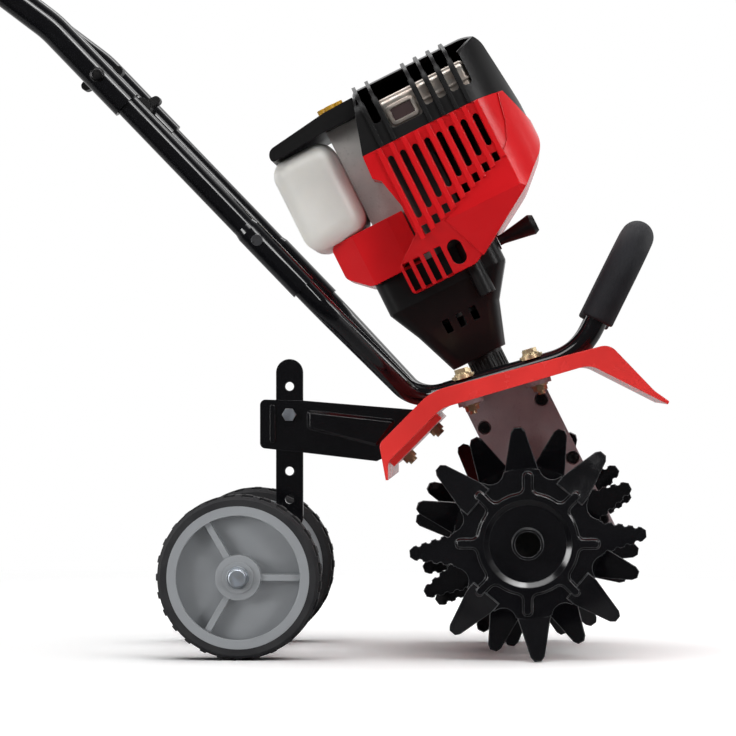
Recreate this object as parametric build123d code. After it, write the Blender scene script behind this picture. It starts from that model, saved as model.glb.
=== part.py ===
from build123d import *
import math
import os

# Mini tiller. Frame: +X forward, +Y to the operator's left, +Z up, millimetres.
# The origin lies on the ground under the middle of the machine.

# Stance
TINE_SHAFT_X = 389.9      # tine shaft ahead of the origin
TINE_SHAFT_Z = 100.0      # tine shaft above the ground
LEAN = 26.5               # engine axis leans back from the vertical, degrees
NECK_RISE = 154.5         # neck datum above the tine shaft, along the engine axis
RUN_FIT = 0.05            # radial clearance of a shaft in its bearing
SLIP_FIT = 0.05           # radial clearance of one tube inside another
BOLT_FIT = 0.3            # radial clearance of a bolt in its hole
FREE_GAP = 0.4            # gap between neighbours that only pass each other

# Tines
TINE_COUNT = 8
TIP_RADIUS = 100.88
PLATE = 3.5               # disc sheet
DISC_RADIUS = 64.0        # flat part of the disc, where the tines bend
GULLET_RADIUS = 11.0      # round valley between two tines
GULLET_BOTTOM = 58.0      # radius of the valley floor
TINE_ROOT = 28.0          # tine width where it leaves the disc
TINE_TIP = 12.0           # tine width at the tip
TIP_CLIP = 4.0            # clipped corners of a tip
TIP_FLAT = 0.2
TINE_BEND = 14.0          # degrees out of the disc's plane
RIB_INNER = 33.0          # foot of the sloped wall round the sunk middle
RING_INNER = 37.5         # pressed ring round the middle
RING_OUTER = 44.0
RIB_OUTER = 61.5          # end of the arms that run out from the ring
RIB_WIDTH = 9.0
RIB_HEIGHT = 2.5
RIB_SLOPE = 1.6           # sloped edge of the ring and arms
RIB_TURN = -5.0           # arms against the tines, degrees
RIB_FILLET = 5.0          # between the ring and an arm
RIB_ROUND = 4.2           # end of an arm
NOTCH_PITCH = 8.5         # saw teeth on two of the tines
NOTCH_RADIUS = 2.4
NOTCH_COUNT = 4
NOTCH_START = 3.0         # first notch beyond the disc
NOTCH_SINK = 0.6          # notch centres outside the edge
HUB_RADIUS = 13.4
HUB_BORE = 10.8
INNER_DISC_Y = 43.0
OUTER_DISC_Y = 107.0
HUB_SPLIT_Y = 75.0        # inner and outer hubs meet here
HUB_END_Y = 122.0
SHAFT_END_Y = 102.0       # the shaft stops inside the outer hub
PIN_RADIUS = 3.0
PIN_HEAD = 5.0
PIN_HEAD_RISE = 3.5       # top of the pin head above the hub
PIN_SEAT = 0.1            # head above the hub
PIN_STAND = 2.0           # pin beyond the hub, head end
PIN_TAIL = 5.0            # and at the other end
PIN_INNER_Y = 62.0
PIN_OUTER_Y = 92.0
PHASE_OUTER_NEAR = 5.0
PHASE_INNER_NEAR = 27.8
PHASE_INNER_FAR = 36.7
PHASE_OUTER_FAR = 20.0
PIN_PHASE = {
    -PIN_OUTER_Y: PHASE_OUTER_NEAR,
    -PIN_INNER_Y: PHASE_INNER_NEAR,
    PIN_INNER_Y: PHASE_INNER_FAR,
    PIN_OUTER_Y: PHASE_OUTER_FAR,
}

# Worm drive
MODULE = 2.0
WHEEL_TEETH = 30
WORM_PITCH_RADIUS = 8.0
WORM_TURNS = 5
ADDENDUM = 1.7
DEDENDUM = 2.5
FLANK = 20.0              # flank angle, degrees
BACKLASH = 0.3            # taken off each flank
THREAD_BITE = 0.4         # thread set into the core
JOURNAL_STEP = 0.5        # lower journal below the thread root
GEAR_CLEAR = 1.5          # case round the worm and the wheel
GEAR_SIDE = 2.0           # case beside the wheel
SHAFT_CLEAR = 1.0         # case round a plain shaft
WHEEL_WIDTH = 10.0
DRIVE_RADIUS = 6.0        # drive shaft
CASE_HALF = 26.0          # half width of the gear case
CASE_COLUMN = 36.0        # half width of the case column across the engine axis
CASE_FOOT = 33.0          # case below the tine shaft, along the engine axis
CASE_LOBE = 45.0          # radius of the case round the worm wheel
CASE_ROUND = 8.0
BOSS_RADIUS = 24.0        # boss round the tine shaft
BOSS_END_Y = 30.0
BUSH_RADIUS = 15.0
BUSH_LENGTH = 14.0
SEAL_RADIUS = 18.0
SEAL_LENGTH = 5.0
BEARING_RADIUS = 11.5
BEARING_WIDTH = 8.0
BEARING_TOP = -58.0       # upper worm bearing, along the engine axis
CASE_SCREW = 2.5
CASE_SCREW_HEAD = 4.6
CASE_SCREW_BORE = 6.0     # counterbore for the head
CASE_SCREW_SINK = 5.0
CASE_SCREW_DIP = 1.0      # head below the case's face
CASE_SCREW_TAIL = 2.0     # screw end short of the far face
CASE_SCREWS = (
    (-28.3, -50.6), (27.4, -50.5), (29.0, -108.4), (28.0, -168.0), (-74.0, -136.0), (-58.0, -187.0),
)
EAR_THICK = 4.0           # gear case ear under the guard
EAR_RADIUS = 11.0

# Guard
GUARD_SLOPE = 16.3
GUARD_DROP = 26.2         # guard below the neck datum, along the engine axis
GUARD_BACK = 53.0         # flat top behind the engine axis
GUARD_FORE = 79.0         # flat top ahead of the engine axis
GUARD_REAR_DROP = 45.4    # slope of the rear panel
GUARD_REAR = 65.5
GUARD_LIP = 16.0
GUARD_FRONT_DROP = 26.9
GUARD_FRONT = 74.3
GUARD_HALF = 125.0
SHEET = 2.0
FLANGE = 14.3             # turned-up side, above the sheet
FLANGE_PEAK = 99.0        # highest point of the side, ahead of the engine axis
FLANGE_PEAK_UP = 10.4     # that point above the flat's own plane
FLANGE_PEAK_ROUND = 13.0
FLANGE_REAR = 59.0        # rear corner of the side, down the rear panel
FLANGE_REAR_ROUND = 7.0
FLANGE_BEND = 45.0        # bend radius of the side's top edge
FLANGE_WAIST = 12.0       # where the front edge eases into the tip
FLANGE_WAIST_UP = 9.5
REAR_ROUND = 12.0         # bends of the sheet: rear lip, rear panel and front panel
BEND_ROUND = 30.0
FRONT_ROUND = 22.0
NECK_HOLE = 20.0
POCKET_DEPTH = 6.0
POCKET_HALF = 92.0
POCKET_START = 9.0
POCKET_LENGTH = 54.0
POCKET_MARGIN = 3.0       # bracket flange from the pocket's upper wall

# Front loop
RUN_Y = 70.0              # tubes on the guard, either side
LOOP_RADIUS = 9.5
TUBE_WALL = 2.0
LOOP_TAIL = 46.0          # loop tube behind the engine axis
LOOP_TURN = 74.0          # loop tube ahead of the engine axis, to the upward bend
LOOP_RISE = 63.7          # slope of the upward legs
LOOP_LEG = 114.0
LOOP_BEND = 42.0          # bends at the top of the loop
LOOP_FOOT_BEND = 55.0     # bends up from the guard
FOAM_RADIUS = 14.5
FOAM_START = 32.0         # foam begins this far up the leg
BOLT_BACK = 28.0          # guard bolts behind and ahead of the engine axis
BOLT_FORE = 33.0
GUARD_BOLT = 3.2
NUT_HEIGHT = 5.5
HEX_RADIUS = 6.2
HEAD_HEIGHT = 5.5
HEAD_FLANGE = 7.6         # flange under a bolt head
HEAD_FLANGE_THICK = 1.4
BOLT_END = 3.0            # bolt end beyond its nut
SADDLE = 10.0             # saddle washer radius
SADDLE_THICK = 1.6
SADDLE_SKIRT = 2.0        # saddle reaches this far down the tube

# Handle
HANDLE_Y = 167.0
HANDLE_SLOPE = 46.0
LOWER_RADIUS = 9.3
KNEE_S = -72.0            # lower bend, along the guard from the engine axis
KNEE_BEND = 36.0
ELBOW_BEND = 45.0
ELBOW_REACH = 112.0       # from the knee to the outward elbow, up the handle
PLUG_LENGTH = 44.0        # lower tube inside the loop
MID_RADIUS = 10.0
SOCKET_RADIUS = 11.2      # expanded end of the middle tube
SOCKET_LENGTH = 66.0
SOCKET_GAP = 4.0          # lower tube short of the socket's end
SOCKET_TAPER = 5.0
MID_START = 132.0         # from the knee, up the handle
SCREW_UP = 55.0           # screw above the socket's mouth
SCREW_RADIUS = 2.4
SCREW_TAIL = 4.0          # screw end beyond the socket
SCREW_HEAD = 4.8
SCREW_HEAD_HEIGHT = 2.5
SLEEVE_START = 345.0
SLEEVE_RADIUS = 12.7
SLEEVE_OVERLAP = 64.0
CLAMP_UP = 34.0           # carriage bolt above the sleeve's mouth
SLEEVE_BEND = 91.5        # straight length of the sleeve before its bend
UPPER_SLOPE = 37.0
UPPER_LENGTH = 390.0
GRIP_SLOPE = 8.0
GRIP_LENGTH = 185.0
UPPER_BEND_RADIUS = 90.0
RUBBER_LENGTH = 120.0
RUBBER_RADIUS = 16.5
RUBBER_CAP = 4.0
RUBBER_FLANGE = 3.0       # ring at the front of a hand grip
RUBBER_FLANGE_THICK = 4.0
BRACE_REACH = 210.0       # cross brace up the upper slope
BRACE_RADIUS = 8.0
CARRIAGE_BOLT = 3.0
CARRIAGE_HEAD = 6.2
CARRIAGE_DOME = 3.0
CARRIAGE_ROUND = 2.5
KNOB_HUB = 9.0
KNOB_LENGTH = 22.0
KNOB_CAP = 5.0            # closed end of the knob
KNOB_FOOT = 5.0           # hub below the wings
KNOB_WING = 15.0
KNOB_THICK = 8.0
KNOB_ANGLE = 19.0         # wings against the handle, degrees

# Throttle
CONTROL_LENGTH = 28.0     # throttle housing along the right grip tube
CONTROL_WALL = 4.0
CONTROL_DROP = 20.0
CONTROL_HALF = 11.0
CONTROL_ROUND = 4.0
LEVER_WIDTH = 8.0
LEVER_LENGTH = 74.0
LEVER_PIN = 2.0
LEVER_PIN_DROP = 8.0      # pin below the housing's round part
LEVER_PIN_UP = 10.0       # pin ahead of the housing's rear face
LEVER_BOSS = 5.0
LEVER_HEEL = 40.0         # where the lever turns along the grip
LEVER_TIP = 19.0          # tip below the pin
SWITCH_WIDTH = 9.0
SWITCH_LENGTH = 12.0
SWITCH_TRAVEL = 5.0
SWITCH_STAND = 4.0
SWITCH_START = 3.0        # switch slot from the housing's rear face

# Wheels
WHEEL_X = -246.8          # wheel axle from the tine shaft
WHEEL_RADIUS = 70.5
WHEEL_Y = 95.0
TYRE_WIDTH = 33.0
TYRE_INNER = 61.0
TREAD_COUNT = 28
TREAD_DEPTH = 1.8
TREAD_POCKET = 10.0       # pocket along the tread
TREAD_EDGE = 2.4          # rubber left either side of a pocket
TYRE_SHOULDER = 4.0
RIM_WALL = 4.0
RIM_LIP = 8.0
WEB = 4.0
HUB_WHEEL = 19.4
HUB_RING = 13.5           # raised ring on the hub face
HUB_SINK = 1.5
SPOKE_COUNT = 3
SPOKE_WIDTH = 5.4
SPOKE_SINK = 4.0          # spoke below the rim's outer face
LIP_THICK = 3.0
LIP_SLOPE = 8.0
AXLE_RADIUS = 6.0
AXLE_SHOULDER = 9.0
AXLE_NUT_HEIGHT = 6.0     # push-on axle cap
AXLE_CAP = 9.7            # cap flange
AXLE_CAP_DOME = 8.0
AXLE_CAP_FLANGE = 1.8
AXLE_CAP_ROUND = 1.5
STRUT_X = -210.3          # strut from the tine shaft
STRUT_TOP = 245.7         # centre of the strut's rounded top
STRUT_HALF = 12.0
STRUT_THICK = 5.0
STRUT_HOLE = 3.9
STRUT_PITCH = 25.0
STRUT_HOLE_TOP = 233.5
STRUT_HOLES = 5
STRUT_KNEE = 118.0
STRUT_FOOT = 15.0
BRACKET_SHEET = 3.0
BRACKET_TOP = 222.0       # height of the bracket's tail
BRACKET_LOW = 179.0
BRACKET_TAIL = 26.0       # tail behind the strut's centre line
BRACKET_ROUND = 5.0       # tail corners
BRACKET_RIDGE = 4.5       # pressed ridge on the tail
BRACKET_RIDGE_X = 14.8    # ridge behind the strut's centre line
BRACKET_RIDGE_STAND = 1.5
BRACKET_TOE = 11.0        # arm's lower corner beyond the end of the guard's rear panel
BRACKET_TOE_UP = 7.0      # and above that panel
BRACKET_BEAD = 3.0        # pressed bead on the arm
BRACKET_BEAD_SLOPE = 2.4
BRACKET_BEAD_X = 16.0     # bead ahead of the strut's centre line
BRACKET_BEAD_TOP = 9.5    # bead below the arm's top edge
BRACKET_BEAD_HEIGHT = 16.5
BRACKET_BEAD_FOOT = 13.0  # bead above the arm's lower corner
BRACKET_BEAD_LEAN = 18.0  # slope and height of the bead's front end
BRACKET_BEAD_END = 23.5
BRACKET_BEAD_ROUND = 3.0
BRACKET_FLANGE = 36.0     # flange width across the machine
BRACKET_BOLT = 4.0
BRACKET_BOLT_Y = 17.0
BRACKET_BOLT_UP = 8.0     # upper bolt below the flange's top edge
BRACKET_BOLT_PITCH = 34.0

# Engine, along and across the engine axis from the neck datum
COLLAR_RADIUS = 16.5
COLLAR_TOP = 7.0
COLLAR_FLUTES = 28
COLLAR_FLUTE = 0.9        # half width and depth of a flute
BELL_MOUTH = 54.0         # clutch housing ahead of the engine axis, at its top
BELL_BACK = -58.0         # and behind it
BELL_HALF = 50.0
BELL_SHOULDER = 73.0      # straight sides start here
BELL_WAIST = 45.0         # change of slope in the sides
BELL_WAIST_BACK = -44.4
BELL_WAIST_FORE = 34.0
BELL_WAIST_HALF = 41.0
BELL_FLOOR_BACK = -30.0
BELL_FLOOR_FORE = 21.0
BELL_FLOOR_HALF = 27.0
BELL_ROUND = 12.0
BELL_BOSS = 7.5           # screw boss and rope guide
BELL_BOSS_U = 27.0
VENTS = 3
VENT_FIRST = -17.0
VENT_PITCH = 13.0
VENT_HALF = 3.0
VENT_LOW = 37.0
VENT_TOP = 49.0
ROPE_HOLE = 2.5
BELL_TOP = 102.5
BELL_WALL = 3.0
DRUM_RADIUS = 29.0
DRUM_FLOOR = 46.0
DRUM_HEIGHT = 24.0
DRUM_WALL = 3.0
SHOE_GAP = 1.0
SHOE_SLOT = 2.0           # half of the gap between the shoes
SHOE_DEPTH = 12.0
CLUTCH_CLEAR = 2.0        # hub above the drum floor and below its rim
CRANK_RADIUS = 6.0
CRANK_SEAT = 30.0         # crankshaft inside the block
REEL_RADIUS = 34.0
REEL_ROPE = 30.0          # rope radius on the reel
REEL_LOW = 84.5
REEL_HEIGHT = 11.0
REEL_FLANGE = 2.5
REEL_GROOVE = 3.0         # rope groove floor below the rope
FLYWHEEL_RADIUS = 46.0
FLYWHEEL_LOW = 98.0
FLYWHEEL_HEIGHT = 10.0
FLYWHEEL_CLEAR = 2.0
BLADE_HEIGHT = 7.0
BLADE_COUNT = 12
BLADE_START = 18.0
BLADE_HALF = 1.5
BLOCK_LOW = 119.0
BLOCK_DECK = 204.0
BLOCK_TOP = 241.0
BLOCK_BACK = -36.5
BLOCK_FORE = 40.0
BLOCK_HALF = 45.0
CYLINDER_W = 163.0
CYLINDER_RADIUS = 24.0
FIN_RADIUS = 32.0
FIN_COUNT = 7
FIN_PITCH = 7.5
FIN_THICK = 2.5
SHROUD_HALF = 85.0
SHROUD_WALL = 2.5
SHROUD_NOSE = 126.0
SHROUD_BACK = -17.0
SHROUD_LOW = 80.0
SHROUD_TOP = 263.0
SHROUD_BROW = 20.0        # round over the nose
SHROUD_BROW_U = 117.0
SHROUD_BRIDGE = 186.0     # the nose leans back above this height
SHROUD_CHEEK = 44.0       # round of the nose, from above
SHROUD_EAVE = 253.0       # near top edge, below the crown
SHROUD_CROWN = 40.0       # half width of the crown
SHROUD_HIP = 128.0        # where the sides turn in towards the clutch
SHROUD_FOOT_HALF = 66.0
SHROUD_FOOT_BACK = -31.0
SHROUD_FOOT_FORE = 30.0
SHROUD_FOOT_TOP = 106.0
SHROUD_CHIN_U = 97.0
SHROUD_CHIN_W = 121.0
SHROUD_NOSE_W = 148.0
SHROUD_TAB = 6.0          # tab on the rear edge under the seam
SHROUD_TAB_LOW = 184.0
SHROUD_TAB_SLOPE = 5.0
SHROUD_STEP_U = -6.0      # step in the rear edge
SHROUD_STEP_TOP = 153.0
SHROUD_STEP_LOW = 125.0
CHEEK_STAND = 1.5         # raised rim round the grille panel
CHEEK_LINE = (            # inner edge of that rim, from the seam down and back
    (112.0, 205.0), (106.5, 178.0), (100.0, 162.0), (87.0, 149.5), (50.0, 134.0), (22.0, 124.0), (38.0, 84.0),
)
PARTING = 205.0           # seam between the shroud and the muffler cover
SEAM_FORE = 94.0          # seam runs level up to here
SEAM_CORNER = 116.0
SEAM_END = 171.0          # and drops to this height at the nose
COVER_FIN = 3.2           # fins on the muffler cover
COVER_FIN_STAND = 3.2
COVER_FIN_BACK = 1.8      # first fin of the rear pair
COVER_FIN_FORE = 49.0     # first fin of the front row
COVER_FIN_PITCH = 12.4
COVER_FINS = 4
WINDOW_LOW = 215.0        # foot of the large window
WINDOW_STEP = 5.0         # narrow windows start higher
WINDOW_TOP = 250.0
WINDOW_EDGE = 0.8
WINDOW_ROUND = 2.5
GRILLE_SLOTS = 8
GRILLE_PITCH = 11.6
GRILLE_FIRST = 4.0        # first slot ahead of the engine axis
GRILLE_SLOT = 5.5
GRILLE_TOP = 195.0
GRILLE_LOW = 136.0        # foot of the first slot
GRILLE_CLIMB = 4.1        # each slot ends this much higher than the last
GRILLE_RIB = 4.0
GRILLE_RIB_STAND = 3.0
GRILLE_RIB_DROP = 16.0    # ribs run this far below the slots
CUT_OUT = 9.0             # openings in the near face are cut from this far outside
CUT_IN = 12.0
PORT_DROP = 7.0           # small square holes under the slots
PORT_HEIGHT = 8.0
COMB_GAPS = 4             # open gaps between the bars over the clutch
COMB_FIRST = -25.2
COMB_PITCH = 10.1
COMB_GAP = 6.2
COMB_TOP = 107.0
ARCH_U = 19.0             # arched opening beside the bars
ARCH_HALF = 6.5
ARCH_LOW = 85.0
TRAY_HALF = 60.0          # shroud tray under the tank
TRAY_BACK = -78.0
TRAY_FORE = -8.0
TRAY_FOOT = -60.0         # foot of the tray's sloped back
TRAY_KNEE = 119.0
TRAY_FACET = -23.0        # facets of the tray's rear corners
TRAY_FACET_IN = 6.0
TRAY_CORNER = -57.0
TRAY_CORNER_IN = 22.0
TANK_BACK = -96.0
TANK_FORE = -37.0
TANK_LOW = 150.0
TANK_TOP = 236.8
TANK_NECK = 52.0          # filler neck above the tank's floor
TANK_HALF = 60.0
TANK_ROUND = 16.0
TANK_WALL = 2.5
CAP_RADIUS = 21.0
CAP_HEIGHT = 13.0
NECK_RADIUS = 15.0
NECK_LENGTH = 8.0
NECK_WALL = 3.0
CAP_NOTCHES = 12
CAP_NOTCH = 2.2
LID_BACK = -90.0
LID_LOW = 237.2           # rear foot of the lid
LID_TOP_BACK = 248.0
LID_TOP_FORE = 257.0
LID_HALF = 62.0
LID_FLAT = 28.0           # level part of the lid
CHOKE_U = -24.0
CHOKE_Y = -30.0
CHOKE_RADIUS = 6.0
CHOKE_WING = 8.0
CHOKE_HEIGHT = 5.0
CHOKE_PIN = 2.0
CHOKE_BOSS = 8.0          # boss under the lever, and its depth into the lid
MUFFLER_BACK = 12.0
MUFFLER_FORE = 98.0
MUFFLER_LOW = 209.0
MUFFLER_TOP = 243.0
MUFFLER_NEAR = 78.0
MUFFLER_FAR = 22.0
MUFFLER_ROUND = 6.0
MUFFLER_SEAM = 2.0        # stand of the pressed seam
MUFFLER_PORT = 9.0        # exhaust port radius
MUFFLER_PORT_U = 26.0
GRIP_START = 56.0         # starter grip along +u
GRIP_REACH = 36.0
GRIP_SMALL = 4.5
GRIP_LARGE = 9.3
GRIP_W = 90.0

# Worked out once
COS_LEAN = math.cos(math.radians(LEAN))
SIN_LEAN = math.sin(math.radians(LEAN))
COS_GUARD = math.cos(math.radians(GUARD_SLOPE))
SIN_GUARD = math.sin(math.radians(GUARD_SLOPE))
WORM_OFFSET = WORM_PITCH_RADIUS + MODULE * WHEEL_TEETH / 2
WORM_LEAD = math.pi * MODULE
SHAFT_RADIUS = HUB_BORE - RUN_FIT
NECK_X = TINE_SHAFT_X + WORM_OFFSET * COS_LEAN - NECK_RISE * SIN_LEAN
NECK_Z = TINE_SHAFT_Z + WORM_OFFSET * SIN_LEAN + NECK_RISE * COS_LEAN
ENGINE = Pos(NECK_X, 0, NECK_Z) * Rot(0, -LEAN, 0)
ANCHOR_X = NECK_X + GUARD_DROP * SIN_LEAN
ANCHOR_Z = NECK_Z - GUARD_DROP * COS_LEAN
GUARD = Pos(ANCHOR_X, 0, ANCHOR_Z) * Rot(0, -GUARD_SLOPE, 0)
SIDES = (-1, 1)
BEYOND = 300.0            # outside the machine on any side


# Shared helpers

def outline(points, radius=0.0):
    face = make_face(Polyline(*points, close=True))
    if radius:
        face = fillet(face.vertices(), radius)
    return face


def rounded(corners):
    """A closed outline from corners given as x, z and corner radius."""
    points = [(x, z) for x, z, radius in corners]
    radii = [radius for x, z, radius in corners]
    return make_face(FilletPolyline(*points, radius=radii, close=True))


def slab(face, y_low, y_high):
    """A flat outline in X and Z, carried from y_low to y_high."""
    plane = Plane(origin=(0, y_high, 0), x_dir=(1, 0, 0), z_dir=(0, -1, 0))
    return extrude(plane * face, y_high - y_low)


def rod_y(radius, y_low, y_high, x=0.0, z=0.0):
    return Pos(x, (y_low + y_high) / 2, z) * Rot(90, 0, 0) * Cylinder(radius, y_high - y_low)


def rod_z(radius, z_low, z_high, x=0.0, y=0.0):
    return Pos(x, y, (z_low + z_high) / 2) * Cylinder(radius, z_high - z_low)


def box(x_low, x_high, y_low, y_high, z_low, z_high):
    centre = Pos((x_low + x_high) / 2, (y_low + y_high) / 2, (z_low + z_high) / 2)
    return centre * Box(x_high - x_low, y_high - y_low, z_high - z_low)


def hexagon_z(radius, z_low, z_high, x=0.0, y=0.0):
    return Pos(x, y, z_low) * extrude(RegularPolygon(radius, 6), z_high - z_low)


def tube_along(path, outer, inner):
    start = Plane(origin=path @ 0, z_dir=path % 0)
    return sweep(start * (Circle(outer) - Circle(inner)), path=path)


def lathe(points):
    """A closed half section in radius and height, turned about Z."""
    section = make_face(Polyline(*points, close=True))
    return revolve(Plane.XZ * section, Axis.Z)


def guard_point(s, n, y):
    """A point s along the guard's flat and n above its top face."""
    x = ANCHOR_X + s * COS_GUARD - n * SIN_GUARD
    z = ANCHOR_Z + s * SIN_GUARD + n * COS_GUARD
    return (x, y, z)


def handle_point(reach, y):
    """A point that far up the handle line from the knee over the guard."""
    knee = guard_point(KNEE_S, LOOP_RADIUS, y)
    angle = math.radians(HANDLE_SLOPE)
    return (knee[0] - reach * math.cos(angle), y, knee[2] + reach * math.sin(angle))


# Tines

def tine_blade(serrated):
    start = GULLET_BOTTOM - PLATE
    half_root = TINE_ROOT / 2
    half_tip = TINE_TIP / 2
    blade = outline([
        (start, -half_root), (DISC_RADIUS, -half_root), (TIP_RADIUS - TIP_CLIP, -half_tip),
        (TIP_RADIUS - TIP_FLAT, -half_tip / 2), (TIP_RADIUS - TIP_FLAT, half_tip / 2),
        (TIP_RADIUS - TIP_CLIP, half_tip), (DISC_RADIUS, half_root), (start, half_root),
    ])
    if serrated:
        taper = (half_root - half_tip) / (TIP_RADIUS - TIP_CLIP - DISC_RADIUS)
        for index in range(NOTCH_COUNT):
            reach = DISC_RADIUS + NOTCH_START + index * NOTCH_PITCH
            half = half_root - (reach - DISC_RADIUS) * taper
            for side in SIDES:
                blade -= Pos(reach, side * (half + NOTCH_SINK)) * Circle(NOTCH_RADIUS)
    return blade


def bent_tine(angle, bend, serrated):
    blade = Pos(0, 0, -PLATE / 2) * extrude(tine_blade(serrated), PLATE)
    hinge = Pos(DISC_RADIUS, 0, 0) * Rot(0, -bend, 0) * Pos(-DISC_RADIUS, 0, 0)
    return Rot(0, 0, angle) * (hinge * blade)


def pressed_star():
    """Raised ring with an arm to each tine, round a sunk middle."""
    star = Circle(RING_OUTER)
    arm = RectangleRounded(RIB_OUTER - RING_INNER, RIB_WIDTH, RIB_ROUND)
    arm = Pos((RING_INNER + RIB_OUTER) / 2, 0) * arm
    for index in range(TINE_COUNT):
        star += Rot(0, 0, RIB_TURN + index * 360 / TINE_COUNT) * arm
    corners = [v for v in star.vertices() if abs(math.hypot(v.X, v.Y) - RING_OUTER) < 0.01]
    star = fillet(corners, RIB_FILLET)
    top = PLATE / 2
    boss = Pos(0, 0, top) * extrude(star, RIB_HEIGHT)
    boss = chamfer(boss.faces().sort_by(Axis.Z)[-1].edges(), RIB_SLOPE)
    high = top + RIB_HEIGHT
    return boss - lathe([
        (0, top - PLATE), (RIB_INNER, top - PLATE), (RIB_INNER, top), (RING_INNER, high),
        (RING_INNER, high + 1), (0, high + 1),
    ])


def tine_disc(hub_low, hub_high, pin_at, bends):
    """One disc about +Z with its pressing towards +Z; bends are for alternate plain tines."""
    step = 360 / TINE_COUNT
    flat = Circle(DISC_RADIUS)
    gullet = Pos(GULLET_BOTTOM + GULLET_RADIUS, 0) * Circle(GULLET_RADIUS)
    for index in range(TINE_COUNT):
        flat -= Rot(0, 0, (index + 0.5) * step) * gullet
    disc = Pos(0, 0, -PLATE / 2) * extrude(flat, PLATE)
    for index in range(TINE_COUNT):
        serrated = index % (TINE_COUNT // 2) == 0
        bend = 0.0 if serrated else bends[index % 2]
        disc += bent_tine(index * step, bend, serrated)
    disc += pressed_star()
    disc += rod_z(HUB_RADIUS, hub_low, hub_high)
    disc -= rod_z(HUB_BORE, hub_low - 1, hub_high + 1)
    pin = Pos(0, 0, pin_at) * Rot(0, 90, 0) * Cylinder(PIN_RADIUS + BOLT_FIT, 4 * HUB_RADIUS)
    return disc - pin


def place_disc(disc, y, phase, facing):
    """Facing -1 turns the pressing to the near side, +1 to the far side."""
    near = Plane(origin=(TINE_SHAFT_X, y, TINE_SHAFT_Z), x_dir=(1, 0, 0), z_dir=(0, -1, 0))
    far = Plane(origin=(TINE_SHAFT_X, y, TINE_SHAFT_Z), x_dir=(-1, 0, 0), z_dir=(0, 1, 0))
    if facing < 0:
        return near * (Rot(0, 0, phase) * disc)
    return far * (Rot(0, 0, 180 - phase) * disc)


def tine_nodes():
    inner_start = BOSS_END_Y + FREE_GAP
    inner = tine_disc(INNER_DISC_Y - HUB_SPLIT_Y, INNER_DISC_Y - inner_start,
                      INNER_DISC_Y - PIN_INNER_Y, (-TINE_BEND, -TINE_BEND / 2))
    outer = tine_disc(HUB_SPLIT_Y + FREE_GAP - OUTER_DISC_Y, HUB_END_Y - OUTER_DISC_Y,
                      PIN_OUTER_Y - OUTER_DISC_Y, (TINE_BEND, -TINE_BEND))
    return {
        "tine_disc_outer_right": place_disc(outer, -OUTER_DISC_Y, PHASE_OUTER_NEAR, -1),
        "tine_disc_inner_right": place_disc(inner, -INNER_DISC_Y, PHASE_INNER_NEAR, 1),
        "tine_disc_inner_left": place_disc(inner, INNER_DISC_Y, PHASE_INNER_FAR, -1),
        "tine_disc_outer_left": place_disc(outer, OUTER_DISC_Y, PHASE_OUTER_FAR, 1),
    }


def pin_place(y, phase):
    """The pin's own +Z points along the serrated tines of its disc."""
    return Pos(TINE_SHAFT_X, y, TINE_SHAFT_Z) * Rot(0, 90 - phase, 0)


def tine_pins():
    pins = []
    pin = rod_z(PIN_RADIUS, -HUB_RADIUS - PIN_TAIL, HUB_RADIUS + PIN_STAND)
    pin += rod_z(PIN_HEAD, HUB_RADIUS + PIN_SEAT, HUB_RADIUS + PIN_HEAD_RISE)
    for y, phase in PIN_PHASE.items():
        pins.append(pin_place(y, phase) * pin)
    return Part() + pins


def tine_shaft():
    shaft = rod_y(SHAFT_RADIUS, -SHAFT_END_Y, SHAFT_END_Y, TINE_SHAFT_X, TINE_SHAFT_Z)
    for y, phase in PIN_PHASE.items():
        shaft -= pin_place(y, phase) * Cylinder(PIN_RADIUS + BOLT_FIT, 4 * HUB_RADIUS)
    return shaft


# Worm drive

def worm_wheel():
    pitch_radius = MODULE * WHEEL_TEETH / 2
    tip = pitch_radius + ADDENDUM
    root = pitch_radius - DEDENDUM
    slope = math.tan(math.radians(FLANK))
    half = math.pi * MODULE / 4 - BACKLASH
    blank = Circle(root)
    tooth = outline([
        (root - 1, -half - slope * (DEDENDUM + 1)), (tip, -half + slope * ADDENDUM),
        (tip, half - slope * ADDENDUM), (root - 1, half + slope * (DEDENDUM + 1)),
    ])
    for index in range(WHEEL_TEETH):
        blank += Rot(0, 0, (index + 0.5) * 360 / WHEEL_TEETH) * tooth
    twist = math.degrees(WHEEL_WIDTH / WORM_PITCH_RADIUS * (MODULE / 2) / pitch_radius)
    face = blank.faces()[0]
    gear = Solid.extrude_linear_with_rotation(face, (0, 0, 0), (0, 0, WHEEL_WIDTH), twist)
    gear = Rot(0, 0, -twist / 2) * Pos(0, 0, -WHEEL_WIDTH / 2) * Part(gear.wrapped)
    gear -= rod_z(SHAFT_RADIUS, -WHEEL_WIDTH, WHEEL_WIDTH)
    place = Plane(origin=(-WORM_OFFSET, 0, -NECK_RISE), x_dir=(1, 0, 0), z_dir=(0, -1, 0))
    return ENGINE * (place * gear)


def worm_foot():
    return -NECK_RISE - (WORM_TURNS + 1) / 2 * WORM_LEAD


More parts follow.
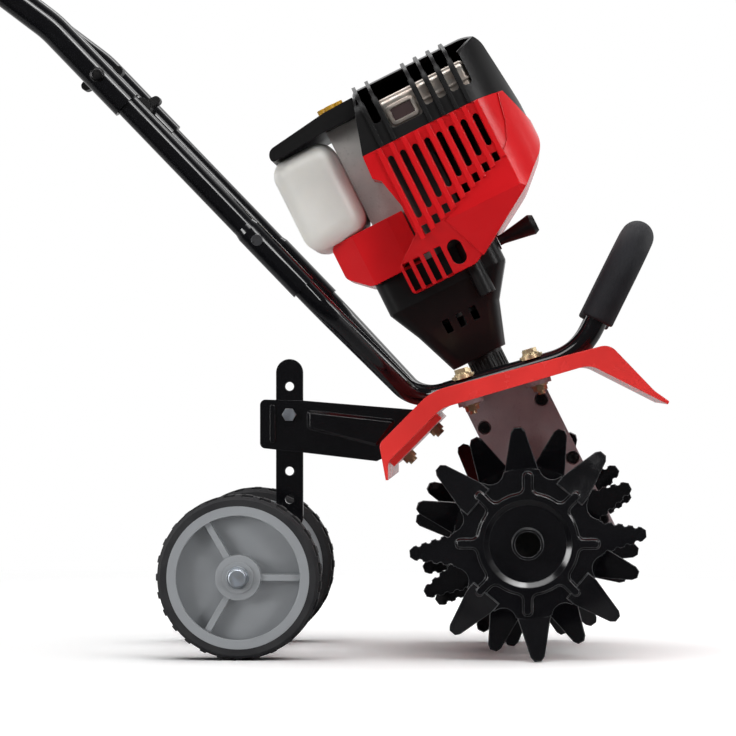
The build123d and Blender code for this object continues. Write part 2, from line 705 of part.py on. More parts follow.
def worm_shaft():
    """Drive shaft with its worm thread, from the lower bearing up to the clutch drum."""
    slope = math.tan(math.radians(FLANK))
    half = math.pi * MODULE / 4 - BACKLASH
    root = WORM_PITCH_RADIUS - DEDENDUM
    tip = WORM_PITCH_RADIUS + ADDENDUM
    start = -NECK_RISE - WORM_TURNS / 2 * WORM_LEAD
    helix = Helix(WORM_LEAD, WORM_TURNS * WORM_LEAD, WORM_PITCH_RADIUS, center=(0, 0, start))
    section = outline([
        (root - THREAD_BITE, start - half - slope * (DEDENDUM + THREAD_BITE)),
        (tip, start - half + slope * ADDENDUM),
        (tip, start + half - slope * ADDENDUM),
        (root - THREAD_BITE, start + half + slope * (DEDENDUM + THREAD_BITE)),
    ])
    thread = sweep(Plane.XZ * section, path=helix, is_frenet=True)
    core = rod_z(root, worm_foot(), -NECK_RISE + (WORM_TURNS + 1) / 2 * WORM_LEAD)
    foot = worm_foot() - BEARING_WIDTH
    journal = rod_z(root - JOURNAL_STEP, foot, worm_foot())
    shaft = rod_z(DRIVE_RADIUS, -NECK_RISE + (WORM_TURNS + 1) / 2 * WORM_LEAD, DRUM_FLOOR)
    return ENGINE * (core + journal + shaft + thread)


def gear_case_outline():
    foot = -NECK_RISE - CASE_FOOT
    column = rounded([
        (-CASE_COLUMN, 0, 0), (-CASE_COLUMN, -NECK_RISE, 0), (-WORM_OFFSET, foot - 8, 0),
        (CASE_COLUMN, foot, CASE_ROUND), (CASE_COLUMN, 0, 0),
    ])
    lobe = Pos(-WORM_OFFSET, -NECK_RISE) * Circle(CASE_LOBE)
    return column + lobe


def case_cavity():
    """Room for the worm, its bearings, the wheel, bushes and seals."""
    tip = WORM_PITCH_RADIUS + ADDENDUM
    wheel = MODULE * WHEEL_TEETH / 2 + ADDENDUM
    low = worm_foot()
    cavity = rod_z(tip + GEAR_CLEAR, low, BEARING_TOP - BEARING_WIDTH)
    cavity += rod_z(BEARING_RADIUS, low - BEARING_WIDTH, low)
    cavity += rod_z(BEARING_RADIUS, BEARING_TOP - BEARING_WIDTH, BEARING_TOP)
    cavity += rod_z(DRIVE_RADIUS + SHAFT_CLEAR, BEARING_TOP, COLLAR_TOP)
    wheel_half = WHEEL_WIDTH / 2 + GEAR_SIDE
    cavity += rod_y(wheel + GEAR_CLEAR, -wheel_half, wheel_half, -WORM_OFFSET, -NECK_RISE)
    seal_low = BOSS_END_Y - SEAL_LENGTH
    cavity += rod_y(SHAFT_RADIUS + SHAFT_CLEAR, -BOSS_END_Y, BOSS_END_Y, -WORM_OFFSET, -NECK_RISE)
    for side in SIDES:
        bush = sorted((side * (seal_low - BUSH_LENGTH), side * seal_low))
        seal = sorted((side * seal_low, side * (BOSS_END_Y + 1)))
        cavity += rod_y(BUSH_RADIUS, bush[0], bush[1], -WORM_OFFSET, -NECK_RISE)
        cavity += rod_y(SEAL_RADIUS, seal[0], seal[1], -WORM_OFFSET, -NECK_RISE)
    return cavity


def gear_case(side):
    body = slab(gear_case_outline(), *sorted((0, side * CASE_HALF)))
    boss = sorted((0, side * BOSS_END_Y))
    body += rod_y(BOSS_RADIUS, boss[0], boss[1], -WORM_OFFSET, -NECK_RISE)
    body -= case_cavity()
    for u, w in CASE_SCREWS:
        body -= rod_y(CASE_SCREW + BOLT_FIT, -CASE_HALF - 1, CASE_HALF + 1, u, w)
        body -= rod_y(CASE_SCREW_BORE, -CASE_HALF - 1, CASE_SCREW_SINK - CASE_HALF, u, w)
    body = ENGINE * body
    ears = []
    for s in (-BOLT_BACK, BOLT_FORE):
        tip = Pos(s, side * RUN_Y) * Circle(EAR_RADIUS)
        arm = Pos(s, side * RUN_Y / 2) * Rectangle(2 * EAR_RADIUS, RUN_Y)
        ears.append(extrude(tip + arm, EAR_THICK))
    under = -SHEET - EAR_THICK
    above = box(-BEYOND, BEYOND, -BEYOND, BEYOND, -SHEET, BEYOND)
    body = body - GUARD * above
    for ear in ears:
        body += GUARD * (Pos(0, 0, under) * ear)
    for s in (-BOLT_BACK, BOLT_FORE):
        body -= GUARD * rod_z(GUARD_BOLT + BOLT_FIT, under - 1, 0, s, side * RUN_Y)
    return body - ENGINE * rod_z(DRIVE_RADIUS + SHAFT_CLEAR, BEARING_TOP, COLLAR_TOP)


def gear_case_screws():
    screws = []
    seat = CASE_SCREW_SINK - CASE_HALF
    for u, w in CASE_SCREWS:
        head = rod_y(CASE_SCREW_HEAD, CASE_SCREW_DIP - CASE_HALF, seat, u, w)
        socket = extrude(RegularPolygon(CASE_SCREW_HEAD / 2, 6), CASE_SCREW_HEAD / 2, both=True)
        head -= Pos(u, CASE_SCREW_DIP - CASE_HALF, w) * Rot(90, 0, 0) * socket
        screws.append(ENGINE * (head + rod_y(CASE_SCREW, seat, CASE_HALF - CASE_SCREW_TAIL, u, w)))
    return Part() + screws


def gear_bearings():
    root = WORM_PITCH_RADIUS - DEDENDUM
    low = worm_foot()
    lower = rod_z(BEARING_RADIUS, low - BEARING_WIDTH, low - RUN_FIT)
    lower -= rod_z(root - JOURNAL_STEP + RUN_FIT, low - 2 * BEARING_WIDTH, low)
    upper = rod_z(BEARING_RADIUS, BEARING_TOP - BEARING_WIDTH, BEARING_TOP)
    upper -= rod_z(DRIVE_RADIUS + RUN_FIT, BEARING_TOP - 2 * BEARING_WIDTH, BEARING_TOP + 1)
    rings = [ENGINE * lower, ENGINE * upper]
    seal_low = BOSS_END_Y - SEAL_LENGTH
    for side in SIDES:
        ends = sorted((side * (seal_low - BUSH_LENGTH), side * seal_low))
        bush = rod_y(BUSH_RADIUS, ends[0], ends[1], -WORM_OFFSET, -NECK_RISE)
        bush -= rod_y(SHAFT_RADIUS + RUN_FIT, -BOSS_END_Y, BOSS_END_Y, -WORM_OFFSET, -NECK_RISE)
        rings.append(ENGINE * bush)
    return Part() + rings


def shaft_seals():
    seals = []
    for side in SIDES:
        ends = sorted((side * (BOSS_END_Y - SEAL_LENGTH), side * BOSS_END_Y))
        seal = rod_y(SEAL_RADIUS, ends[0], ends[1], -WORM_OFFSET, -NECK_RISE)
        seal -= rod_y(SHAFT_RADIUS + RUN_FIT, -2 * BOSS_END_Y, 2 * BOSS_END_Y, -WORM_OFFSET, -NECK_RISE)
        seals.append(ENGINE * seal)
    return Part() + seals


# Guard

def rear_panel_point(down, n):
    """A point down the rear panel from its bend, and n above its outer face."""
    bend = guard_point(-GUARD_BACK, 0, 0)
    angle = math.radians(GUARD_REAR_DROP)
    x = bend[0] - down * math.cos(angle) - n * math.sin(angle)
    z = bend[2] - down * math.sin(angle) + n * math.cos(angle)
    return (x, z)


def guard_line():
    """The guard's crease, from the rear lip to the front tip, as points in X and Z."""
    rear = rear_panel_point(GUARD_REAR, 0)
    bend = guard_point(-GUARD_BACK, 0, 0)
    fore = guard_point(GUARD_FORE, 0, 0)
    angle = math.radians(GUARD_FRONT_DROP)
    tip = (fore[0] + GUARD_FRONT * math.cos(angle), fore[2] - GUARD_FRONT * math.sin(angle))
    return [(rear[0], rear[1] - GUARD_LIP), rear, (bend[0], bend[2]), (fore[0], fore[2]), tip]


def band(points, radii, height, side):
    """The strip between one bent line and its parallel on that side."""
    path = FilletPolyline(*points, radius=radii)
    return make_face(path.offset_2d(height, side=side))


def guard_side():
    """Outline of a turned-up side: the top edge from the rear lip to the tip, then back along the crease."""
    lip, rear, bend, fore, tip = guard_line()
    half_turn = math.radians((GUARD_REAR_DROP - GUARD_SLOPE) / 2)
    corner = rear_panel_point(FLANGE_REAR, FLANGE)
    top = guard_point(-GUARD_BACK - FLANGE * math.tan(half_turn), FLANGE, 0)
    peak = guard_point(FLANGE_PEAK, FLANGE_PEAK_UP, 0)
    return rounded([
        (*lip, 0), (*corner, FLANGE_REAR_ROUND), (top[0], top[2], FLANGE_BEND),
        (peak[0], peak[2], FLANGE_PEAK_ROUND),
        (tip[0] - FLANGE_WAIST, tip[1] + FLANGE_WAIST_UP, 2 * FLANGE_WAIST),
        (tip[0], tip[1] + 1, 0), (*tip, 0),
        (*fore, FRONT_ROUND), (*bend, BEND_ROUND), (*rear, REAR_ROUND),
    ])


def tine_guard():
    radii = [REAR_ROUND, BEND_ROUND, FRONT_ROUND]
    guard = slab(band(guard_line(), radii, SHEET, Side.RIGHT), -GUARD_HALF, GUARD_HALF)
    flange = guard_side()
    for side in SIDES:
        guard += slab(flange, *sorted((side * (GUARD_HALF - SHEET), side * GUARD_HALF)))
    panel_x, panel_z = rear_panel_point(0, 0)
    panel = Pos(panel_x, 0, panel_z) * Rot(0, 180 - GUARD_REAR_DROP, 0)
    deep = POCKET_DEPTH + SHEET
    floor_end = POCKET_START + POCKET_LENGTH
    wide = POCKET_HALF + SHEET
    outer = box(POCKET_START - SHEET, floor_end + SHEET, -wide, wide, SHEET / 2, deep)
    inner = box(POCKET_START, floor_end, -POCKET_HALF, POCKET_HALF, -POCKET_LENGTH, POCKET_DEPTH)
    guard = guard + panel * outer - panel * inner
    for down in bracket_bolt_downs():
        guard -= panel * rod_z(BRACKET_BOLT + BOLT_FIT, 0, 2 * deep, down, BRACKET_BOLT_Y)
    for s in (-BOLT_BACK, BOLT_FORE):
        for side in SIDES:
            guard -= GUARD * rod_z(GUARD_BOLT + BOLT_FIT, -2 * SHEET, SHEET, s, side * RUN_Y)
    return guard - ENGINE * rod_z(NECK_HOLE, -2 * GUARD_DROP, 0)


def bracket_bolt_downs():
    first = POCKET_START + POCKET_MARGIN + BRACKET_BOLT_UP
    return (first, first + BRACKET_BOLT_PITCH)


def loop_path():
    ends = []
    for side in SIDES:
        y = side * RUN_Y
        tail = guard_point(-LOOP_TAIL, LOOP_RADIUS, y)
        turn = guard_point(LOOP_TURN, LOOP_RADIUS, y)
        angle = math.radians(LOOP_RISE)
        top = (turn[0] + LOOP_LEG * math.cos(angle), y, turn[2] + LOOP_LEG * math.sin(angle))
        ends.append([tail, turn, top])
    return [*ends[0], *reversed(ends[1])]


def front_loop():
    bends = [LOOP_FOOT_BEND, LOOP_BEND, LOOP_BEND, LOOP_FOOT_BEND]
    path = FilletPolyline(*loop_path(), radius=bends)
    loop = tube_along(path, LOOP_RADIUS, LOOP_RADIUS - TUBE_WALL)
    for s in (-BOLT_BACK, BOLT_FORE):
        for side in SIDES:
            loop -= GUARD * rod_z(GUARD_BOLT + BOLT_FIT, -LOOP_RADIUS, 3 * LOOP_RADIUS, s, side * RUN_Y)
    return loop


def foam_grip():
    points = loop_path()
    turn, top = Vector(*points[1]), Vector(*points[2])
    begin = turn + (top - turn).normalized() * FOAM_START
    start = (begin.X, -RUN_Y, begin.Z)
    end = (begin.X, RUN_Y, begin.Z)
    path = FilletPolyline(start, points[2], points[3], end, radius=LOOP_BEND)
    return tube_along(path, FOAM_RADIUS, LOOP_RADIUS + SLIP_FIT)


def flange_bolt(radius, low, high):
    """Bolt along +Z from low up to its head, which starts at high."""
    bolt = rod_z(radius, low, high) + rod_z(HEAD_FLANGE, high, high + HEAD_FLANGE_THICK)
    return bolt + hexagon_z(HEX_RADIUS, high, high + HEAD_HEIGHT)


def flange_nut(radius, high):
    """Nut that hangs below high, with its flange against high."""
    nut = hexagon_z(HEX_RADIUS, high - NUT_HEIGHT, high)
    nut += rod_z(HEAD_FLANGE, high - HEAD_FLANGE_THICK, high)
    return nut - rod_z(radius, high - 2 * NUT_HEIGHT, high + 1)


def guard_fasteners():
    pieces = []
    top = 2 * LOOP_RADIUS
    under = -SHEET - EAR_THICK
    saddle = rod_z(SADDLE, top - SADDLE_SKIRT, top + SADDLE_THICK)
    saddle -= Pos(0, 0, LOOP_RADIUS) * Rot(0, 90, 0) * Cylinder(LOOP_RADIUS + SLIP_FIT, 4 * SADDLE)
    saddle -= rod_z(GUARD_BOLT + BOLT_FIT, 0, 2 * top)
    bolt = flange_bolt(GUARD_BOLT, under - NUT_HEIGHT - BOLT_END, top + SADDLE_THICK)
    nut = flange_nut(GUARD_BOLT, under)
    for s in (-BOLT_BACK, BOLT_FORE):
        for side in SIDES:
            place = GUARD * Pos(s, side * RUN_Y, 0)
            pieces += [place * bolt, place * saddle, place * nut]
    return pieces


# Handle

def lower_handle(side):
    """From the plug inside the loop, round the knee, out to the elbow and up into the socket."""
    run_y = side * RUN_Y
    wide_y = side * HANDLE_Y
    inside = guard_point(-LOOP_TAIL + PLUG_LENGTH, LOOP_RADIUS, run_y)
    mouth = guard_point(-LOOP_TAIL, LOOP_RADIUS, run_y)
    knee = guard_point(KNEE_S, LOOP_RADIUS, run_y)
    elbow = handle_point(ELBOW_REACH, wide_y)
    end = handle_point(MID_START + SOCKET_LENGTH - SOCKET_GAP, wide_y)
    path = FilletPolyline(mouth, knee, elbow, end, radius=[KNEE_BEND, ELBOW_BEND])
    tube = tube_along(path, LOWER_RADIUS, LOWER_RADIUS - TUBE_WALL)
    plug_radius = LOOP_RADIUS - TUBE_WALL - SLIP_FIT
    tube += tube_along(Line(mouth, inside), plug_radius, LOWER_RADIUS - 2 * TUBE_WALL)
    tube -= GUARD * rod_z(GUARD_BOLT + BOLT_FIT, -LOOP_RADIUS, 3 * LOOP_RADIUS, -BOLT_BACK, run_y)
    return tube - screw_place(side) * Cylinder(SCREW_RADIUS + BOLT_FIT, 6 * LOWER_RADIUS)


def handle_frame(reach, side):
    """+Z up along the handle, +Y as the machine's, at that reach from the knee."""
    x, y, z = handle_point(reach, side * HANDLE_Y)
    return Pos(x, y, z) * Rot(0, HANDLE_SLOPE - 90, 0)


def screw_place(side):
    return handle_frame(MID_START + SCREW_UP, side) * Rot(90, 0, 0)


def middle_handle(side):
    top = SLEEVE_START + SLEEVE_OVERLAP - MID_START
    socket = rod_z(SOCKET_RADIUS, 0, SOCKET_LENGTH) - rod_z(LOWER_RADIUS + SLIP_FIT, -1, SOCKET_LENGTH)
    tube = rod_z(MID_RADIUS, SOCKET_LENGTH, top) - rod_z(MID_RADIUS - TUBE_WALL, SOCKET_LENGTH - 1, top + 1)
    cone = lathe([
        (LOWER_RADIUS - TUBE_WALL, SOCKET_LENGTH), (SOCKET_RADIUS, SOCKET_LENGTH),
        (MID_RADIUS, SOCKET_LENGTH + SOCKET_TAPER), (MID_RADIUS - TUBE_WALL, SOCKET_LENGTH + SOCKET_TAPER),
    ])
    tube = handle_frame(MID_START, side) * (socket + cone + tube)
    tube -= screw_place(side) * Cylinder(SCREW_RADIUS + BOLT_FIT, 6 * LOWER_RADIUS)
    return tube - clamp_place(side) * Cylinder(CARRIAGE_BOLT + BOLT_FIT, 6 * SLEEVE_RADIUS)


def clamp_place(side):
    return handle_frame(SLEEVE_START + CLAMP_UP, side) * Rot(90, 0, 0)


def upper_points(side):
    y = side * HANDLE_Y
    start = handle_point(SLEEVE_START, y)
    bend = handle_point(SLEEVE_START + SLEEVE_BEND, y)
    angle = math.radians(UPPER_SLOPE)
    wrist = (bend[0] - UPPER_LENGTH * math.cos(angle), y, bend[2] + UPPER_LENGTH * math.sin(angle))
    angle = math.radians(GRIP_SLOPE)
    end = (wrist[0] - GRIP_LENGTH * math.cos(angle), y, wrist[2] + GRIP_LENGTH * math.sin(angle))
    return [start, bend, wrist, end]


def upper_handle(side):
    path = FilletPolyline(*upper_points(side), radius=UPPER_BEND_RADIUS)
    tube = tube_along(path, SLEEVE_RADIUS, MID_RADIUS + SLIP_FIT)
    return tube - clamp_place(side) * Cylinder(CARRIAGE_BOLT + BOLT_FIT, 6 * SLEEVE_RADIUS)


def grip_frame(side, back):
    """+Z forward along the grip tube, from a point that far ahead of the tube's end."""
    end = upper_points(side)[3]
    angle = math.radians(GRIP_SLOPE)
    x = end[0] + back * math.cos(angle)
    z = end[2] - back * math.sin(angle)
    return Pos(x, end[1], z) * Rot(0, 90 + GRIP_SLOPE, 0)


def hand_grip(side):
    bore = SLEEVE_RADIUS + SLIP_FIT
    ring = RUBBER_LENGTH - RUBBER_FLANGE_THICK
    rim = RUBBER_RADIUS + RUBBER_FLANGE
    section = [
        (0, -RUBBER_CAP), (RUBBER_RADIUS, -RUBBER_CAP), (RUBBER_RADIUS, ring), (rim, ring),
        (rim, RUBBER_LENGTH),
        (bore, RUBBER_LENGTH), (bore, 0), (0, 0),
    ]
    return grip_frame(side, 0) * lathe(section)


def handle_brace():
    bend = upper_points(1)[1]
    angle = math.radians(UPPER_SLOPE)
    x = bend[0] - BRACE_REACH * math.cos(angle)
    z = bend[2] + BRACE_REACH * math.sin(angle)
    brace = rod_y(BRACE_RADIUS, -HANDLE_Y, HANDLE_Y, x, z)
    brace -= rod_y(BRACE_RADIUS - TUBE_WALL, -HANDLE_Y, HANDLE_Y, x, z)
    for side in SIDES:
        tube = Pos(x, side * HANDLE_Y, z) * Rot(0, UPPER_SLOPE - 90, 0)
        brace -= tube * Cylinder(SLEEVE_RADIUS + SLIP_FIT, 6 * SLEEVE_RADIUS)
    middle = [solid for solid in brace.solids() if abs(solid.center().Y) < HANDLE_Y / 2]
    return Part() + middle


def handle_screws():
    screws = []
    for side in SIDES:
        head = SOCKET_RADIUS
        screw = rod_z(SCREW_RADIUS, -head - SCREW_TAIL, head)
        screw += rod_z(SCREW_HEAD, head, head + SCREW_HEAD_HEIGHT)
        turn = Rot(0, 0, 0) if side < 0 else Rot(180, 0, 0)
        screws.append(screw_place(side) * turn * screw)
    return Part() + screws


def carriage_bolts():
    bolts = []
    for side in SIDES:
        length = SLEEVE_RADIUS + KNOB_LENGTH - KNOB_CAP - 1
        bolt = rod_z(CARRIAGE_BOLT, -length, SLEEVE_RADIUS)
        dome = rod_z(CARRIAGE_HEAD, SLEEVE_RADIUS, SLEEVE_RADIUS + CARRIAGE_DOME)
        dome = fillet(dome.faces().sort_by(Axis.Z)[-1].edges(), CARRIAGE_ROUND)
        turn = Rot(0, 0, 0) if side < 0 else Rot(180, 0, 0)
        bolts.append(clamp_place(side) * turn * (bolt + dome))
    return Part() + bolts


def wing_knob(side):
    """Moulded knob with two wings, on the inner side of the handle."""
    low = SLEEVE_RADIUS + FREE_GAP
    hub = rod_z(KNOB_HUB, low, low + KNOB_LENGTH)
    wing = SlotCenterToCenter(2 * KNOB_WING, KNOB_THICK)
    wings = Pos(0, 0, low + KNOB_FOOT) * extrude(wing, KNOB_LENGTH - KNOB_FOOT - 1)
    knob = hub + wings - rod_z(CARRIAGE_BOLT + RUN_FIT, low - 1, low + KNOB_LENGTH - KNOB_CAP)
    turn = Rot(180, 0, 0) if side < 0 else Rot(0, 0, 0)
    return clamp_place(side) * turn * Rot(0, 0, -side * KNOB_ANGLE) * knob


# Throttle, on the right-hand grip tube ahead of the rubber grip

def control_frame():
    return grip_frame(-1, RUBBER_LENGTH + FREE_GAP)


def throttle_housing():
    outer = SLEEVE_RADIUS + CONTROL_WALL
    body = rod_z(outer, 0, CONTROL_LENGTH)
    body += box(0, outer + CONTROL_DROP - CONTROL_ROUND, -CONTROL_HALF, CONTROL_HALF, 0, CONTROL_LENGTH)
    body = fillet(body.edges().filter_by(Axis.Z).sort_by(Axis.X)[-2:], CONTROL_ROUND)
    body -= rod_z(SLEEVE_RADIUS + SLIP_FIT, -1, CONTROL_LENGTH + 1)
    slot = LEVER_WIDTH / 2 + FREE_GAP
    body -= box(outer + 1, outer + CONTROL_DROP, -slot, slot, -1, CONTROL_LENGTH - CONTROL_WALL)
    pin_x, pin_z = lever_pin()
    body += rod_y(LEVER_PIN, -CONTROL_HALF, CONTROL_HALF, pin_x, pin_z)
    half = SWITCH_WIDTH / 2 + FREE_GAP
    slot_end = SWITCH_START + SWITCH_LENGTH + SWITCH_TRAVEL + 2 * FREE_GAP
    body -= box(-outer - 1, -SLEEVE_RADIUS - 1, -half, half, SWITCH_START, slot_end)
    return control_frame() * body


def lever_pin():
    return (SLEEVE_RADIUS + CONTROL_WALL + LEVER_PIN_DROP, LEVER_PIN_UP)


def throttle_lever():
    pin_x, pin_z = lever_pin()
    lever = Pos(pin_x, pin_z) * Circle(LEVER_BOSS)
    root = LEVER_BOSS - 1
    heel_z = pin_z - LEVER_HEEL
    lever += outline([
        (pin_x - root, pin_z), (pin_x + root, pin_z), (pin_x + LEVER_TIP - LEVER_BOSS, heel_z),
        (pin_x + LEVER_TIP + LEVER_BOSS, -LEVER_LENGTH), (pin_x + LEVER_TIP, -LEVER_LENGTH),
        (pin_x + 2 * root, heel_z),
    ])
    lever -= Pos(pin_x, pin_z) * Circle(LEVER_PIN + RUN_FIT)
    return control_frame() * slab(lever, -LEVER_WIDTH / 2, LEVER_WIDTH / 2)


def stop_switch():
    outer = SLEEVE_RADIUS + CONTROL_WALL
    half = SWITCH_WIDTH / 2
    low = SWITCH_START + FREE_GAP
    base = SLEEVE_RADIUS + 1 + FREE_GAP
    switch = box(-outer - SWITCH_STAND, -base, -half, half, low, low + SWITCH_LENGTH)
    return control_frame() * switch


# Wheels

def wheel_rim(side):
    half = TYRE_WIDTH / 2
    inner = TYRE_INNER - RIM_WALL
    lip = TYRE_INNER - RIM_LIP
    rim = lathe([
        (inner, -half), (TYRE_INNER, -half), (TYRE_INNER, half), (lip, half), (lip, half - LIP_THICK),
        (inner, half - LIP_SLOPE),
    ])
    rim += rod_z(TYRE_INNER - RIM_WALL / 2, -WEB / 2, WEB / 2)
    rim += rod_z(HUB_WHEEL, -half, half - HUB_SINK) + rod_z(HUB_RING, 0, half)
    spoke_half = SPOKE_WIDTH / 2
    spoke_end = TYRE_INNER - RIM_WALL / 2
    spoke = box(HUB_WHEEL / 2, spoke_end, -spoke_half, spoke_half, 0, half - SPOKE_SINK)
    for index in range(SPOKE_COUNT):
        rim += Rot(0, 0, index * 360 / SPOKE_COUNT) * spoke
    rim -= rod_z(AXLE_RADIUS + RUN_FIT, -half - 1, half + 1)
    return wheel_place(side) * rim


def wheel_place(side):
    """+Z points outwards along the axle."""
    x = TINE_SHAFT_X + WHEEL_X
    if side < 0:
        return Location(Plane(origin=(x, -WHEEL_Y, WHEEL_RADIUS), x_dir=(1, 0, 0), z_dir=(0, -1, 0)))
    return Location(Plane(origin=(x, WHEEL_Y, WHEEL_RADIUS), x_dir=(1, 0, 0), z_dir=(0, 1, 0)))


def tyre(side):
    """Solid tyre with two rows of tread pockets, half a pitch apart."""
    half = TYRE_WIDTH / 2
    flank = WHEEL_RADIUS - TYRE_SHOULDER
    ring = lathe([
        (TYRE_INNER, -half), (flank, -half), (WHEEL_RADIUS, TYRE_SHOULDER - half),
        (WHEEL_RADIUS, half - TYRE_SHOULDER), (flank, half), (TYRE_INNER, half),
    ])
    pocket = box(WHEEL_RADIUS - TREAD_DEPTH, WHEEL_RADIUS + 5, -TREAD_POCKET / 2, TREAD_POCKET / 2,
                 TREAD_EDGE, half - TREAD_EDGE)
    cuts = []
    step = 360 / TREAD_COUNT
    for index in range(TREAD_COUNT):
        cuts.append(Rot(0, 0, 90 + (index + 0.5) * step) * pocket)
        cuts.append(Rot(0, 0, 90 + index * step) * mirror(pocket, Plane.XY))
    return wheel_place(side) * (ring - cuts)


def wheel_axle():
    x = TINE_SHAFT_X + WHEEL_X
    half = TYRE_WIDTH / 2
    shoulder = WHEEL_Y - half - FREE_GAP
    end = WHEEL_Y + half + FREE_GAP + AXLE_NUT_HEIGHT
    axle = rod_y(AXLE_RADIUS, -end, end, x, WHEEL_RADIUS)
    for side in SIDES:
        ends = sorted((side * STRUT_THICK / 2, side * shoulder))
        axle += rod_y(AXLE_SHOULDER, ends[0], ends[1], x, WHEEL_RADIUS)
    return axle


def axle_nuts():
    """Push-on caps that hold the wheels on the axle."""
    start = TYRE_WIDTH / 2 + FREE_GAP
    end = start + AXLE_NUT_HEIGHT
    dome = rod_z(AXLE_CAP_DOME, start, end + AXLE_CAP_FLANGE)
    dome = fillet(dome.faces().sort_by(Axis.Z)[-1].edges(), AXLE_CAP_ROUND)
    cap = dome + rod_z(AXLE_CAP, start, start + AXLE_CAP_FLANGE) - rod_z(AXLE_RADIUS, start - 1, end)
    return Part() + [wheel_place(side) * cap for side in SIDES]


def strut_hole_heights():
    return [STRUT_HOLE_TOP - index * STRUT_PITCH for index in range(STRUT_HOLES)]


def wheel_strut():
    x = TINE_SHAFT_X + STRUT_X
    foot_x = TINE_SHAFT_X + WHEEL_X
    bar = Pos(x, (STRUT_TOP + STRUT_KNEE) / 2) * Rectangle(2 * STRUT_HALF, STRUT_TOP - STRUT_KNEE)
    bar += Pos(x, STRUT_TOP) * Circle(STRUT_HALF)
    knee = Pos(x, STRUT_KNEE) * Circle(STRUT_HALF)
    foot = Pos(foot_x, WHEEL_RADIUS) * Circle(STRUT_FOOT)
    bar += make_hull(knee.edges() + foot.edges())
    for height in strut_hole_heights():
        bar -= Pos(x, height) * Circle(STRUT_HOLE)
    bar -= Pos(foot_x, WHEEL_RADIUS) * Circle(AXLE_RADIUS)
    return slab(bar, -STRUT_THICK / 2, STRUT_THICK / 2)


def wheel_bracket():
    """Bent sheet: a flange in the guard's pocket and an arm beside the strut."""
    x = TINE_SHAFT_X + STRUT_X
    seat = -POCKET_DEPTH + BRACKET_SHEET
    first = POCKET_START + POCKET_MARGIN
    last = first + 2 * BRACKET_BOLT_UP + BRACKET_BOLT_PITCH
    upper = rear_panel_point(first, seat - 0.5)
    lower = rear_panel_point(last - 6, seat - 0.5)
    edge = rear_panel_point(last, 2)
    toe = rear_panel_point(GUARD_REAR + BRACKET_TOE, BRACKET_TOE_UP)
    top = rear_panel_point(first, 5)
    tail = x - BRACKET_TAIL
    arm = rounded([
        (tail, BRACKET_LOW, BRACKET_ROUND), (x + STRUT_HALF, BRACKET_LOW - 4, 0), (*toe, 0),
        (*edge, 0), (*lower, 0), (*upper, 0), (*top, 0), (x + STRUT_HALF, BRACKET_TOP - 1, 0),
        (tail, BRACKET_TOP, BRACKET_ROUND),
    ])
    near = -STRUT_THICK / 2 - BRACKET_SHEET
    plate = slab(arm, near, -STRUT_THICK / 2)
    bead_x = x + BRACKET_BEAD_X
    bead_top = BRACKET_TOP - BRACKET_BEAD_TOP
    bead_foot = toe[1] + BRACKET_BEAD_FOOT
    bead = outline([
        (bead_x, bead_top), (bead_x, bead_top - BRACKET_BEAD_HEIGHT), (toe[0], bead_foot),
        (toe[0] + BRACKET_BEAD_LEAN, bead_foot + BRACKET_BEAD_END),
    ], BRACKET_BEAD_ROUND)
    pad = slab(bead, near - BRACKET_BEAD, near)
    plate += chamfer(pad.faces().sort_by(Axis.Y)[0].edges(), BRACKET_BEAD_SLOPE)
    middle = (BRACKET_LOW + BRACKET_TOP) / 2
    ridge_height = BRACKET_TOP - BRACKET_LOW - 2 * BRACKET_ROUND
    ridge = RectangleRounded(BRACKET_RIDGE, ridge_height, BRACKET_RIDGE_STAND)
    ridge = Pos(x - BRACKET_RIDGE_X, middle) * ridge
    plate += slab(ridge, near - BRACKET_RIDGE_STAND, near)
    bend_x, bend_z = rear_panel_point(0, 0)
    panel = Pos(bend_x, 0, bend_z) * Rot(0, 180 - GUARD_REAR_DROP, 0)
    flange = box(first, last, near, near + BRACKET_FLANGE, POCKET_DEPTH - BRACKET_SHEET, POCKET_DEPTH)
    bracket = plate + panel * flange
    for down in bracket_bolt_downs():
        bracket -= panel * rod_z(BRACKET_BOLT + BOLT_FIT, 0, 2 * POCKET_DEPTH, down, BRACKET_BOLT_Y)
    height = strut_hole_heights()[1]
    return bracket - rod_y(STRUT_HOLE, -BRACKET_FLANGE, BRACKET_FLANGE, x, height)


def bracket_fasteners():
    """Two bolts through the pocket and the strut's pivot bolt, each with its nut."""
    pieces = []
    bend_x, bend_z = rear_panel_point(0, 0)
    panel = Pos(bend_x, 0, bend_z) * Rot(0, 180 - GUARD_REAR_DROP, 0)
    seat = POCKET_DEPTH - BRACKET_SHEET
    under = POCKET_DEPTH + SHEET
    for down in bracket_bolt_downs():
        place = panel * Pos(down, BRACKET_BOLT_Y, 0)
        bolt = rod_z(BRACKET_BOLT, seat, under + NUT_HEIGHT + BOLT_END)
        bolt += hexagon_z(HEX_RADIUS, seat - HEAD_HEIGHT, seat)
        nut = hexagon_z(HEX_RADIUS, under, under + NUT_HEIGHT)
        nut -= rod_z(BRACKET_BOLT, under - 1, under + 2 * NUT_HEIGHT)
        pieces += [place * bolt, place * nut]
    place = Pos(TINE_SHAFT_X + STRUT_X, 0, strut_hole_heights()[1]) * Rot(90, 0, 0)
    near = STRUT_THICK / 2 + BRACKET_SHEET
    far = -STRUT_THICK / 2
    bolt_radius = STRUT_HOLE - BOLT_FIT
    bolt = rod_z(bolt_radius, far - NUT_HEIGHT - BOLT_END, near)
    bolt += hexagon_z(HEX_RADIUS, near, near + HEAD_HEIGHT)
    nut = hexagon_z(HEX_RADIUS, far - NUT_HEIGHT, far) - rod_z(bolt_radius, far - 2 * NUT_HEIGHT, far + 1)
    return pieces + [place * bolt, place * nut]


# Engine, modelled upright about its own axis and leaned back at the end

